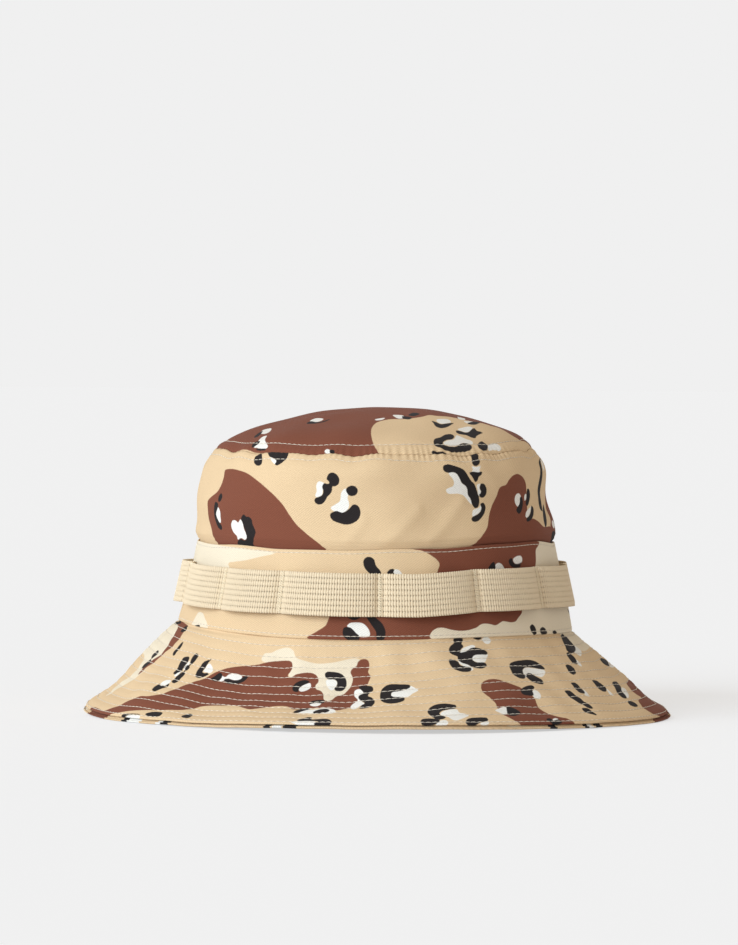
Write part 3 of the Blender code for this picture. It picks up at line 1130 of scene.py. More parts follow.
    def band_panel(self) -> Panel:
        """The cloth band, with both long edges folded in."""
        sizes = self.sizes
        angle = ring_angles(self.columns)
        rise = sizes.band_top_z - sizes.brim_seam_z
        flare = sizes.head_half_width - sizes.band_top_half_width
        across, depth = rounded_rows(math.hypot(rise, flare), 42, 0.0006, both=True)
        share = across / math.hypot(rise, flare)
        wander = 0.0003 * np.sin(7.0 * angle + 1.0) + 0.0002 * np.sin(13.0 * angle)
        z = sizes.band_top_z - rise * share[None, :] + wander * (1.0 - share[None, :])
        hung = z - sizes.dip(angle, z) + sizes.rise(angle, z) + sizes.band_wave(angle, z)
        points = sizes.place(sizes.band_half_width(z), angle, hung)
        along = angle * (sizes.head_half_width + 0.5 * sizes.oval_extra)
        flat = np.stack(np.broadcast_arrays(along, -across[None, :]), -1)
        radius = sizes.head_half_width + 0.5 * sizes.oval_extra
        panel = Panel(points, flat, lambda a, d: np.array([a * radius, -d]))
        low = math.hypot(rise, flare) - across
        height = -depth + Crumple(0.00018, 0.030, 31).at(along, across[None, :])
        for away in (across, low):
            height = height - 0.00018 * bump(away - self.band_stitch_in, 0.0011)
        panel.raise_by(height - self.back_seam(angle))
        return panel

    def row_on(self, panel: Panel, row: int, closed: bool = False) -> Row:
        """The line of a panel's row."""
        return Row(panel.points[:, row], panel.normals()[:, row], closed)

    def build(self) -> None:
        """Makes the crown's pieces."""
        tip, side, band = self.tip_panel(), self.side_panel(), self.band_panel()
        prints = []
        for seed, (panel, patches) in enumerate(((tip, TIP_PRINT), (side, SIDE_PRINT), (band, BAND_PRINT))):
            printed = Print(panel)
            printed.add_patches(self.camera, patches)
            Scatter(self.print_seed + seed).cover(printed, panel.facing(self.camera))
            prints.append(printed)
        twill = self.finishes.twill
        tip_piece = settle(cloth_piece("crown_top", tip, self.cloth, twill, prints[0]),
                           "camouflage_twill", "crown_tip")
        side_piece = settle(cloth_piece("crown_side_strip", side, self.cloth, twill, prints[1]),
                            "camouflage_twill", "crown_side")
        band_piece = settle(cloth_piece("crown_cloth_band", band, self.cloth, twill, prints[2]),
                            "camouflage_twill", "crown_band")
        self.stitch(tip, side, band)

    def stitch(self, tip: Panel, side: Panel, band: Panel) -> None:
        """Sews the top seam and the band."""
        tree = RowTree(Repeat.STITCH, pitch=0.0028, length=0.0027, width=0.00030, height=0.00042, jitter=0.06)
        away = self.sizes.tip_half_width * (1.0 - self.tip_shares())
        tip_row = int(np.argmin(np.abs(away - self.tip_stitch_in)))
        side_row = int(np.argmin(np.abs(-side.flat[0, :, 1] - self.side_stitch_in)))
        low = band.flat[0, :, 1].min()
        band_rows = [int(np.argmin(np.abs(-band.flat[0, :, 1] - self.band_stitch_in))),
                     int(np.argmin(np.abs(band.flat[0, :, 1] - low - self.band_stitch_in)))]
        seams = {
            "top_seam_stitching": [self.row_on(tip, tip_row, True), self.row_on(side, side_row)],
            "band_stitching": [self.row_on(band, row) for row in band_rows],
        }
        for name, rows in seams.items():
            settle(tree.make(name, rows, self.finishes.thread), "thread")


@dataclass
class BranchLoops:
    """The webbing round the band, its woven ribs, and the tacks that sew it down."""

    sizes: HatSizes
    finishes: Finishes
    front_tacks: tuple[float, ...] = (-51.6, -28.8, 1.2, 30.8, 57.0)
    back_tack: float = 180.0
    loops_to_back: int = 4
    loops_from_back: int = 5
    standoff: float = 0.0036
    fullness: float = 0.5
    tack_reach: float = 1.3
    thickness: float = 0.0010
    ribs_across: int = 8
    rib_pitch: float = 0.00128
    spread: float = 0.97
    drops: tuple[tuple[float, float], ...] = (
        (-100.0, 0.0), (-78.0, -0.0005), (-52.0, 0.0002), (-29.0, 0.0), (-14.0, 0.0002), (1.0, 0.0005),
        (12.0, 0.0008), (31.0, -0.0005), (57.0, -0.0003), (80.0, 0.0002), (100.0, 0.0),
    )
    columns: int = 700

    def tack_angles(self) -> list[float]:
        """Angles of all tacks in degrees, once round from the first at the front."""
        to_back = (self.back_tack - self.front_tacks[-1]) / self.loops_to_back
        from_back = (self.front_tacks[0] + 360.0 - self.back_tack) / self.loops_from_back
        angles = list(self.front_tacks)
        angles += [self.front_tacks[-1] + to_back * count for count in range(1, self.loops_to_back + 1)]
        angles += [self.back_tack + from_back * count for count in range(1, self.loops_from_back)]
        return angles

    def lift(self, angle: np.ndarray) -> np.ndarray:
        """How far the webbing stands off the band at angles in radians."""
        ends = np.array(self.tack_angles() + [self.front_tacks[0] + 360.0])
        place = (np.degrees(angle) - ends[0]) % 360.0 + ends[0]
        loop = np.clip(np.searchsorted(ends, place, side="right") - 1, 0, len(ends) - 2)
        start, end = ends[loop], ends[loop + 1]
        share = np.clip((place - start - self.tack_reach) / (end - start - 2.0 * self.tack_reach), 0.0, 1.0)
        return self.standoff * np.sin(math.pi * share) ** self.fullness

    def drop(self, angle: np.ndarray) -> np.ndarray:
        """How far the webbing is sewn lower than a level ring on the band, at angles in radians."""
        place, low = np.array(self.drops).T
        return np.interp((np.degrees(angle) + 180.0) % 360.0 - 180.0, place, low)

    def face(self, angle: np.ndarray, share: np.ndarray, above: float) -> np.ndarray:
        """Points on the webbing.

        Args:
            angle: radians from the front.
            share: place across the webbing, 0 at its top edge and 1 at its lower edge.
            above: height over the webbing's inner face.

        Returns:
            World points on the last axis.
        """
        middle = 0.5 * (self.sizes.webbing_top_z + self.sizes.webbing_low_z)
        height = self.spread * (self.sizes.webbing_top_z - self.sizes.webbing_low_z)
        z = middle + height * (0.5 - share) - self.drop(angle)
        off = self.lift(angle) + above + 0.0003
        return self.sizes.place(self.sizes.band_half_width(z) + off, angle, z - self.sizes.dip(angle, z))

    def build(self) -> None:
        """Makes the webbing, its ribs and its tacks."""
        width = 0.020
        across, depth = rounded_rows(width, 6 * self.ribs_across + 1, 0.0004, both=True)
        groove = np.cos(math.pi * across * self.ribs_across / width) ** 6
        depth = depth + 0.00040 * groove
        angle = ring_angles(self.columns)
        points = self.face(angle, (across / width)[None, :], self.thickness)
        along = angle * (self.sizes.head_half_width + 0.5 * self.sizes.oval_extra)
        panel = Panel(points, np.stack(np.broadcast_arrays(along, -across[None, :]), -1))
        panel.raise_by(np.broadcast_to(-depth[None, :], points.shape[:2]))
        strip = cloth_piece("branch_loop_webbing", panel, 0.0006, self.finishes.webbing)
        # The grooves between the ribs also carry a "depth" value, which the webbing finish turns into painted shade.
        painted_shade_mask = np.broadcast_to(groove[None, :], points.shape[:2]).ravel()
        add_values(strip.data, "depth", np.concatenate([painted_shade_mask, np.zeros_like(painted_shade_mask)]))
        settle(strip, "loop_webbing", "loop_webbing")
        ribs = self.weave(width)
        self.tack()

    def weave(self, width: float) -> bpy.types.Object:
        """Raised ribs of the waffle weave, on the webbing's outer face."""
        even = np.linspace(-math.pi, math.pi, 4 * self.columns)
        middle = self.face(even, np.full_like(even, 0.5), self.thickness)
        along = np.concatenate([[0.0], np.cumsum(np.linalg.norm(np.diff(middle, axis=0), axis=-1))])
        count = round(along[-1] / self.rib_pitch)
        angle = np.interp(np.linspace(0.0, along[-1], count), along, even)
        rows = []
        for number in range(self.ribs_across):
            share = np.full_like(angle, (number + 0.5) / self.ribs_across)
            points = self.face(angle, share, self.thickness)
            above = self.face(angle, share - 0.02, self.thickness)
            normals = np.cross(np.gradient(points, axis=0), above - points)
            rows.append(Row(points, normals / np.linalg.norm(normals, axis=-1, keepdims=True)))
        tree = RowTree(Repeat.RIB, pitch=self.rib_pitch, length=0.93 * self.rib_pitch,
                       width=1.12 * width / self.ribs_across, height=0.00044, resample=False)
        return settle(tree.make("webbing_ribs", rows, self.finishes.webbing), "loop_webbing")

    def tack(self) -> None:
        """A bar of close stitches over the webbing at each tack."""
        tree = RowTree(Repeat.STITCH, pitch=0.0011, length=0.0021, width=0.00055, height=0.00045,
                       turn=0.30 * math.pi, jitter=0.15)
        for number, degrees in enumerate(self.tack_angles(), start=1):
            share = np.linspace(0.06, 0.94, 40)
            angle = np.full_like(share, math.radians(degrees))
            points = self.face(angle, share, self.thickness + 0.00025)
            beside = self.face(angle + 0.01, share, self.thickness + 0.00025)
            normals = np.cross(beside - points, -np.gradient(points, axis=0))
            normals = normals / np.linalg.norm(normals, axis=-1, keepdims=True)
            piece = tree.make(f"webbing_tack_{number:02d}", [Row(points, normals)], self.finishes.tack)
            settle(piece, "thread", f"loop_tack_{number:02d}")


@dataclass
class Brim:
    """The brim's top, interlining and underside, and its rows of stitching."""

    sizes: HatSizes
    finishes: Finishes
    camera: PhotoCamera
    slant: float = 0.0612
    flare: float = 4.5
    flare_power: float = 1.6
    sags: tuple[tuple[float, float, float], ...] = (
        (-15.0, 44.0, 27.0),
        (-40.0, 22.0, 13.0),
        (-88.0, 30.0, -5.0),
        (150.0, 60.0, 7.0),
        (-135.0, 40.0, 8.0),
    )
    widenings: tuple[tuple[float, float, float], ...] = (
        (-88.0, 45.0, 0.0),
        (-63.0, 18.0, 0.0012),
        (63.0, 28.0, 0.0022),
        (96.0, 34.0, -0.0022),
    )
    drift: tuple[float, float, float] = (-45.0, 55.0, 0.0019)
    hollows: tuple[tuple[float, float, float, float], ...] = (
        (-88.0, 34.0, 0.0017, 0.60),
        (-90.0, 36.0, 0.0018, 0.79),
        (100.0, 34.0, 0.0026, 0.83),
    )
    folds: tuple[tuple[float, float, float], ...] = ((-47.0, 12.0, 0.0010), (-60.0, 10.0, -0.0006))
    lifts: tuple[tuple[float, float, float], ...] = (
        (5.0, 52.0, 0.00185),
        (-24.0, 14.0, 0.0003),
        (101.0, 31.0, 0.0009),
        (-96.0, 38.0, 0.00025),
    )
    overhang: float = 0.0020
    stack: float = 0.0026
    cloth: float = 0.00055
    lip: float = 0.0011
    hem: float = 0.0060
    first_row: float = 0.0031
    row_pitch: float = 0.00568
    row_count: int = 11
    print_seed: int = 17
    columns: int = 640

    def bumps(self, angle: np.ndarray, hills: Iterable[tuple[float, float, float]]) -> np.ndarray:
        """Sum of smooth hills round the brim: middle and reach in degrees, and height."""
        return sum(more * bump(angle_away(angle, middle), math.radians(reach)) for middle, reach, more in hills)

    def flare_at(self, angle: np.ndarray) -> np.ndarray:
        """How much the slope eases from the crown to the edge, in radians each way."""
        return np.radians(self.flare + self.bumps(angle, self.sags))

    def edge_z(self, angle: np.ndarray) -> np.ndarray:
        """Height of the top layer's edge."""
        return self.sizes.brim_edge_z + 0.0011 + self.bumps(angle, self.lifts)

    def slant_at(self, angle: np.ndarray) -> np.ndarray:
        """Width of the brim down its slope."""
        return self.slant + self.bumps(angle, self.widenings)

    def line(self, angle: np.ndarray, down: np.ndarray) -> tuple[np.ndarray, np.ndarray]:
        """Half-widths and heights of the brim's top at distances down its slope.

        Args:
            angle: radians from the front, as a column.
            down: distances from the brim seam.

        Returns:
            Half-widths and heights, with columns and rows.
        """
        steps = 121
        share = np.linspace(0.0, 1.0, steps)[None, :]
        power = self.flare_power
        ease = self.flare_at(angle) * 2.0 * ((1.0 - share) ** power - 1.0 / (power + 1.0))
        seam_z = self.sizes.brim_seam_z
        start_z = seam_z + 0.0007 - self.sizes.dip(angle, seam_z) + self.sizes.rise(angle, seam_z)
        slant = self.slant_at(angle)
        fall = (start_z - self.edge_z(angle)) / slant
        middle = np.arcsin(fall)
        for _ in range(6):
            slope = middle + ease
            error = np.mean(np.sin(slope), 1, keepdims=True) - fall
            middle = middle - error / np.mean(np.cos(slope), 1, keepdims=True)
        slope = middle + ease
        step = slant / (steps - 1)
        between = 0.5 * (slope[:, 1:] + slope[:, :-1])
        none = np.zeros_like(angle)
        out = np.concatenate([none, np.cumsum(np.cos(between), 1)], 1)
        fallen = np.concatenate([none, np.cumsum(np.sin(between), 1)], 1)
        half_width = self.sizes.head_half_width - 0.0009 + out * step
        z = start_z - fallen * step
        where = down / self.slant * (steps - 1)
        index = np.clip(where.astype(int), 0, steps - 2)
        part = where - index
        return (
            half_width[:, index] * (1.0 - part) + half_width[:, index + 1] * part,
            z[:, index] * (1.0 - part) + z[:, index + 1] * part,
        )

    def flat_place(self, angle: np.ndarray, down: np.ndarray) -> np.ndarray:
        """Places on the brim's cloth before it was sewn: a cone laid flat."""
        lean = math.radians(39.0)
        reach = self.sizes.head_half_width / math.cos(lean) + down
        turn = angle * math.cos(lean)
        return np.stack([reach * np.sin(turn), -reach * np.cos(turn)], -1)

    def panel(self, under: bool) -> Panel:
        """The top of the brim, or its underside."""
        angle = ring_angles(self.columns)
        down, depth = rounded_rows(self.slant + (self.overhang if under else 0.0), 64, self.lip, both=False)
        half_width, z = self.line(angle, down)
        panel = Panel(self.sizes.place(half_width, angle, z), self.flat_place(angle, down), self.flat_place)
        panel.hem = self.hem
        height = self.unevenness(angle, down)
        dents = sum(0.00028 * bump(down - row, 0.0022) for row in self.rows(angle))
        seam = 0.0004 * np.exp(-(((math.pi - np.abs(angle)) * 0.115 / 0.0009) ** 2))
        if not under:
            panel.raise_by(height - depth - dents - seam)
            return panel
        panel.raise_by(height - self.stack + depth + dents + seam)
        panel.face = Face.IN
        return panel

    def unevenness(self, angle: np.ndarray, down: np.ndarray) -> np.ndarray:
        """Soft waves, hollows, folds and the crease at the brim seam that all layers of the brim share."""
        share = down / self.slant
        waves = Crumple(0.00028, 0.030, 41).at(angle * self.sizes.brim_half_width, down[None, :])
        free = np.clip(down / 0.01, 0.0, 1.0) * (1.0 - 0.7 * bump(down - self.slant, 0.015))
        hollows = sum(self.bumps(angle, (hollow[:3],)) * bump(share - hollow[3], 0.33) for hollow in self.hollows)
        folds = self.bumps(angle, self.folds) * bump(share - 0.7, 0.3)
        return waves * free - hollows + folds - 0.0010 * bump(down - 0.0016, 0.0015)

    def rows(self, angle: np.ndarray) -> list[np.ndarray]:
        """Distances of the stitch rows from the brim seam; the first rows drift away from it at one side."""
        drift = self.bumps(angle, (self.drift,))
        shares = np.linspace(0.0, 1.0, self.row_count)
        return [self.first_row + self.row_pitch * (self.row_count - 1) * share + drift * (1.0 - share)
                for share in shares]

    def stitch_row(self, panel: Panel, row: np.ndarray) -> Row:
        """The line of a stitch row on a panel, at a distance from the brim seam for each column."""
        down = np.linalg.norm(panel.flat[0], axis=-1) - np.linalg.norm(panel.flat[0, 0])
        place = np.interp(row[:, 0], down, np.arange(len(down)))
        column, first = np.arange(len(place)), place.astype(int)
        part = (place - first)[:, None]
        points, normals = panel.points, panel.normals()
        return Row(points[column, first] * (1.0 - part) + points[column, first + 1] * part, normals[column, first])

    def build(self) -> None:
        """Makes the brim's layers and stitching."""
        top, under = self.panel(False), self.panel(True)
        printed, lower = Print(top), Print(under)
        printed.add_patches(self.camera, BRIM_PRINT)
        lower.add_patches(self.camera, RIM_PRINT)
        Scatter(self.print_seed).cover(printed, top.facing(self.camera))
        rim = np.arange(under.points.shape[1]) > 60
        Scatter(self.print_seed + 1).cover(lower, np.where(rim[None, :], under.facing(self.camera), -1.0))
        for name, panel, node, layer in (
            ("brim_top_layer", top, "brim_top", printed),
            ("brim_under_layer", under, "brim_underside", lower),
        ):
            piece = cloth_piece(name, panel, self.cloth, self.finishes.twill, layer)
            settle(piece, "camouflage_twill", node)
        self.stiffen()
        tree = RowTree(Repeat.STITCH, pitch=0.0030, length=0.0029, width=0.00030, height=0.00042, jitter=0.05)
        places = self.rows(ring_angles(self.columns))
        for name, panel in (("brim_top_stitching", top), ("brim_under_stitching", under)):
            rows = [self.stitch_row(panel, place) for place in places]
            settle(tree.make(name, rows, self.finishes.thread), "thread")

    def stiffen(self) -> None:
        """The interlining between the two layers, which nothing shows of."""
        angle = ring_angles(320)
        down = np.linspace(0.001, self.slant - 0.004, 32)
        half_width, z = self.line(angle, down)
        panel = Panel(self.sizes.place(half_width, angle, z), self.flat_place(angle, down))
        panel.raise_by(self.unevenness(angle, down) - 0.00095)
        piece = cloth_piece("brim_stiffener", panel, 0.0003, self.finishes.interlining)
        settle(piece, "interlining", "brim_interlining")


@dataclass
class Inside:
    """The sweatband and the tapes inside the crown."""

    sizes: HatSizes
    finishes: Finishes

    def build(self) -> None:
        """Makes the pieces inside the crown."""
        self.sweatband()
        self.tapes()

    def ring(self, name: str, half_width: np.ndarray, z: np.ndarray, thickness: float,
             material: bpy.types.Material, columns: int = 240) -> tuple[bpy.types.Object, Panel]:
        """A strip round the inside whose visible face looks inwards."""
        angle = ring_angles(columns)
        points = self.sizes.place(half_width[None, :], angle, z[None, :])
        along = angle * self.sizes.head_half_width
        down = np.concatenate([[0.0], np.cumsum(np.hypot(np.diff(half_width), np.diff(z)))])
        flat = np.stack(np.broadcast_arrays(along, -down[None, :]), -1)
        panel = Panel(points, flat, face=Face.IN)
        return cloth_piece(name, panel, thickness, material), panel

    def sweatband(self) -> None:
        """A folded cotton strip against the head."""
        low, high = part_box("sweatband")
        z = np.linspace(high.z, low.z, 14)
        half_width = self.sizes.band_half_width(z) - 0.0031
        piece, panel = self.ring("inner_sweatband", half_width, z, 0.0009, self.finishes.cotton)
        settle(piece, "sweatband_cotton", "sweatband")
        tree = RowTree(Repeat.STITCH, pitch=0.0030, length=0.0029, width=0.00030, height=0.00042, jitter=0.05)
        rows = [Row(panel.points[:, row], panel.normals()[:, row]) for row in (1, 12)]
        settle(tree.make("sweatband_stitching", rows, self.finishes.thread), "thread")

    def tapes(self) -> None:
        """Tapes over the seams of the crown, on the inside."""
        low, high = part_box("tip_seam_tape")
        z = np.linspace(high.z - 0.001, low.z + 0.001, 8)
        half_width = np.linspace(high.x - 0.0100, high.x - 0.0038, 8)
        piece, _ = self.ring("top_seam_tape", half_width, z, 0.0005, self.finishes.tape)
        settle(piece, "seam_tape", "tip_seam_tape")
        low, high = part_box("back_seam_tape")
        x = np.linspace(low.x, high.x, 8)[:, None]
        z = np.linspace(high.z, low.z, 12)[None, :]
        y = low.y + (high.y - low.y) * (high.z - z) / (high.z - low.z)
        points = np.stack(np.broadcast_arrays(x, y, z), -1)
        panel = Panel(points, points[..., ::2].copy(), face=Face.IN)
        piece = cloth_piece("back_tape", panel, 0.0005, self.finishes.tape)
        settle(piece, "seam_tape", "back_seam_tape")


@dataclass(frozen=True)
class Studio:
    """A pale floor that runs into a pale background, a broad low lamp from the left and soft sky light.

    Attributes:
        floor_colour: grey of the floor, which evens out the colours of the lights.
        background: level that the camera sees where nothing stands.
        glow: level that the floor shows the camera besides its own shade.
        shadow: how much of the floor's light and shade the camera sees.
        sky: level of the even light from all round.
        sky_colour: colour of the even light, warm as it is thrown back by the room.
        sun: strength of the lamp.
        sun_colour: colour of the lamp, a little cooler than the sky.
        sun_angle: how broad the lamp is.
        sun_from: direction towards the lamp.
    """

    floor_colour: Colour = (0.920, 0.936, 0.976)
    background: float = 0.871
    glow: float = 1.001
    shadow: float = 0.46
    sky: float = 0.51
    sky_colour: Colour = (1.06, 0.97, 0.85)
    sun: float = 2.7
    sun_colour: Colour = (0.93, 1.05, 1.16)
    sun_angle: float = math.radians(50.0)
    sun_from: tuple[float, float, float] = (-0.730, -0.610, 0.309)

    def build(self) -> None:
        """Adds the floor, the lamp and the world."""
        self.lay_floor()
        data = bpy.data.lights.new("key_sun", "SUN")
        data.energy = self.sun
        data.color = self.sun_colour
        data.angle = self.sun_angle
        lamp = bpy.data.objects.new("key_sun", data)
        lamp.rotation_euler = Vector(self.sun_from).to_track_quat("Z", "Y").to_euler()
        bpy.context.scene.collection.objects.link(lamp)
        world = bpy.data.worlds.new("studio")
        world.use_nodes = True
        world.node_tree.nodes.clear()
        graph = Graph(world.node_tree)
        sky = tuple(self.sky * part for part in self.sky_colour)
        level = graph.mix(self.seen(graph), sky, (self.background,) * 3)
        light = graph.add("ShaderNodeBackground", {"Color": level})
        graph.add("ShaderNodeOutputWorld", {0: light.outputs[0]})
        bpy.context.scene.world = world
        bpy.context.scene.view_settings.view_transform = "Standard"

    def seen(self, graph: Graph) -> bpy.types.NodeSocket:
        """1 for rays that the camera sees directly or through a shine, else 0."""
        path = graph.add("ShaderNodeLightPath")
        seen = graph.math("MAXIMUM", path.outputs["Is Camera Ray"], path.outputs["Is Glossy Ray"])
        return graph.math("MAXIMUM", seen, path.outputs["Is Transmission Ray"])

    def lay_floor(self) -> None:
        """Adds the floor, which shows the camera the background's level and a soft shadow."""
        bpy.ops.mesh.primitive_plane_add(size=40.0, location=(0.0, 0.0, 0.0))
        floor = bpy.context.object
        floor.name = "floor"
        material, graph, shader = new_material("pale_floor")
        shader.inputs["Base Color"].default_value = (*self.floor_colour, 1.0)
        shader.inputs["Roughness"].default_value = 1.0
        shader.inputs["Specular IOR Level"].default_value = 0.0
        even = graph.add("ShaderNodeEmission", {"Strength": self.glow}).outputs[0]
        share = graph.math("MULTIPLY", self.seen(graph), 1.0 - self.shadow)
        both = graph.add("ShaderNodeMixShader", {0: share, 1: shader.outputs[0], 2: even}).outputs[0]
        graph.tree.links.new(both, graph.tree.nodes["Material Output"].inputs[0])
        floor.data.materials.append(material)


# The print that shows in the photograph, read on four enlargements of it

UPPER_LEFT = Enlargement(70.0, 390.0, 0.1977)
UPPER_RIGHT = Enlargement(370.0, 390.0, 0.2041)
LOWER_LEFT = Enlargement(70.0, 540.0, 0.1977)
LOWER_RIGHT = Enlargement(370.0, 540.0, 0.2041)

TIP_PRINT = (
    Patch(
        Cast.BROWN,
        UPPER_LEFT.at((735, 332), (800, 330), (1000, 345), (1200, 350), (1400, 358), (1540, 358))
        + UPPER_RIGHT.at((42, 330), (42, 312), (24, 280), (10, 240), (5, 205), (12, 180), (32, 160), (62, 150),
                         (105, 143), (160, 143), (205, 139), (255, 131), (290, 123), (330, 127), (385, 131),
                         (450, 143), (530, 160), (610, 180), (680, 213), (745, 250), (785, 285)),
        behind=((96.0, 70.0), (108.0, 50.0), (128.0, 44.0), (150.0, 22.0), (178.0, 30.0), (-158.0, 18.0),
                (-132.0, 40.0), (-116.0, 42.0), (-106.0, 66.0), (-98.0, 80.0)),
    ),
    UPPER_LEFT.patch(Cast.WHITE, (978, 202), (1018, 194), (1008, 212), (985, 222), (962, 218)),
    UPPER_LEFT.patch(Cast.BLACK, (931, 241), (942, 226), (975, 206), (966, 222), (950, 236)),
    UPPER_LEFT.patch(Cast.WHITE, (996, 231), (986, 254), (1001, 284), (985, 298), (945, 292), (930, 288), (950, 262),
                     (972, 238)),
    UPPER_LEFT.patch(Cast.BLACK, (920, 292), (932, 266), (962, 258), (945, 278)),
    UPPER_LEFT.patch(Cast.BLACK, (942, 296), (990, 297), (985, 306), (950, 306)),
    UPPER_LEFT.patch(Cast.WHITE, (1214, 156), (1245, 143), (1282, 146), (1262, 159), (1230, 162)),
    UPPER_LEFT.patch(Cast.BLACK, (1196, 170), (1218, 158), (1258, 163), (1316, 146), (1290, 160), (1240, 170)),
    UPPER_LEFT.patch(Cast.WHITE, (1288, 308), (1305, 299), (1318, 311), (1308, 323), (1294, 320)),
    UPPER_LEFT.patch(Cast.BLACK, (1312, 307), (1336, 304), (1337, 320), (1320, 325)),
    UPPER_RIGHT.patch(Cast.WHITE, (26, 143), (72, 136), (60, 146), (32, 149)),
    UPPER_RIGHT.patch(Cast.WHITE, (113, 122), (160, 124), (168, 137), (140, 140), (122, 132)),
    UPPER_RIGHT.patch(Cast.BLACK, (160, 128), (204, 134), (192, 144), (162, 140)),
    UPPER_RIGHT.patch(Cast.BLACK, (188, 123), (213, 111), (244, 117), (216, 128)),
    UPPER_RIGHT.patch(Cast.WHITE, (328, 144), (360, 142), (386, 145), (396, 158), (374, 163), (350, 165), (330, 157)),
    UPPER_RIGHT.patch(Cast.BLACK, (302, 151), (326, 158), (346, 167), (375, 164), (412, 160), (396, 172), (374, 183),
                      (345, 187), (322, 178), (312, 164)),
    Patch(Cast.WHITE, (), ((51.0, 49.0), (54.0, 50.5), (62.0, 46.5), (62.0, 43.5), (57.0, 45.0))),
    UPPER_RIGHT.patch(Cast.WHITE, (462, 152), (505, 155), (492, 163), (470, 161)),
    UPPER_RIGHT.patch(Cast.BLACK, (478, 163), (546, 161), (520, 169)),
    UPPER_RIGHT.patch(Cast.WHITE, (428, 192), (455, 184), (482, 179), (502, 185), (488, 203), (468, 207), (444, 200)),
    UPPER_RIGHT.patch(Cast.BLACK, (421, 199), (440, 200), (465, 208), (486, 204), (502, 189), (516, 188), (523, 200),
                      (555, 208), (535, 218), (522, 226), (515, 236), (494, 232), (474, 222), (444, 217), (427, 212)),
    UPPER_RIGHT.patch(Cast.WHITE, (360, 259), (380, 247), (411, 241), (424, 222), (446, 229), (470, 240), (499, 250),
                      (502, 266), (480, 263), (454, 260), (430, 272), (400, 275), (372, 270)),
    UPPER_RIGHT.patch(Cast.BLACK, (311, 252), (320, 238), (346, 231), (370, 218), (402, 217), (413, 229), (402, 241),
                      (376, 245), (358, 256), (362, 269), (384, 276), (420, 277), (446, 263), (472, 261), (493, 270),
                      (498, 287), (478, 299), (440, 305), (398, 306), (372, 297), (348, 284), (324, 276), (314, 266)),
    UPPER_RIGHT.patch(Cast.BLACK, (306, 298), (335, 303), (372, 308), (366, 316), (308, 315)),
    UPPER_RIGHT.patch(Cast.BLACK, (534, 258), (548, 251), (563, 261), (576, 271), (573, 295), (555, 298), (535, 285),
                      (527, 270)),
    UPPER_RIGHT.patch(Cast.WHITE, (575, 276), (590, 264), (620, 264), (642, 286), (632, 299), (602, 292), (581, 300)),
)

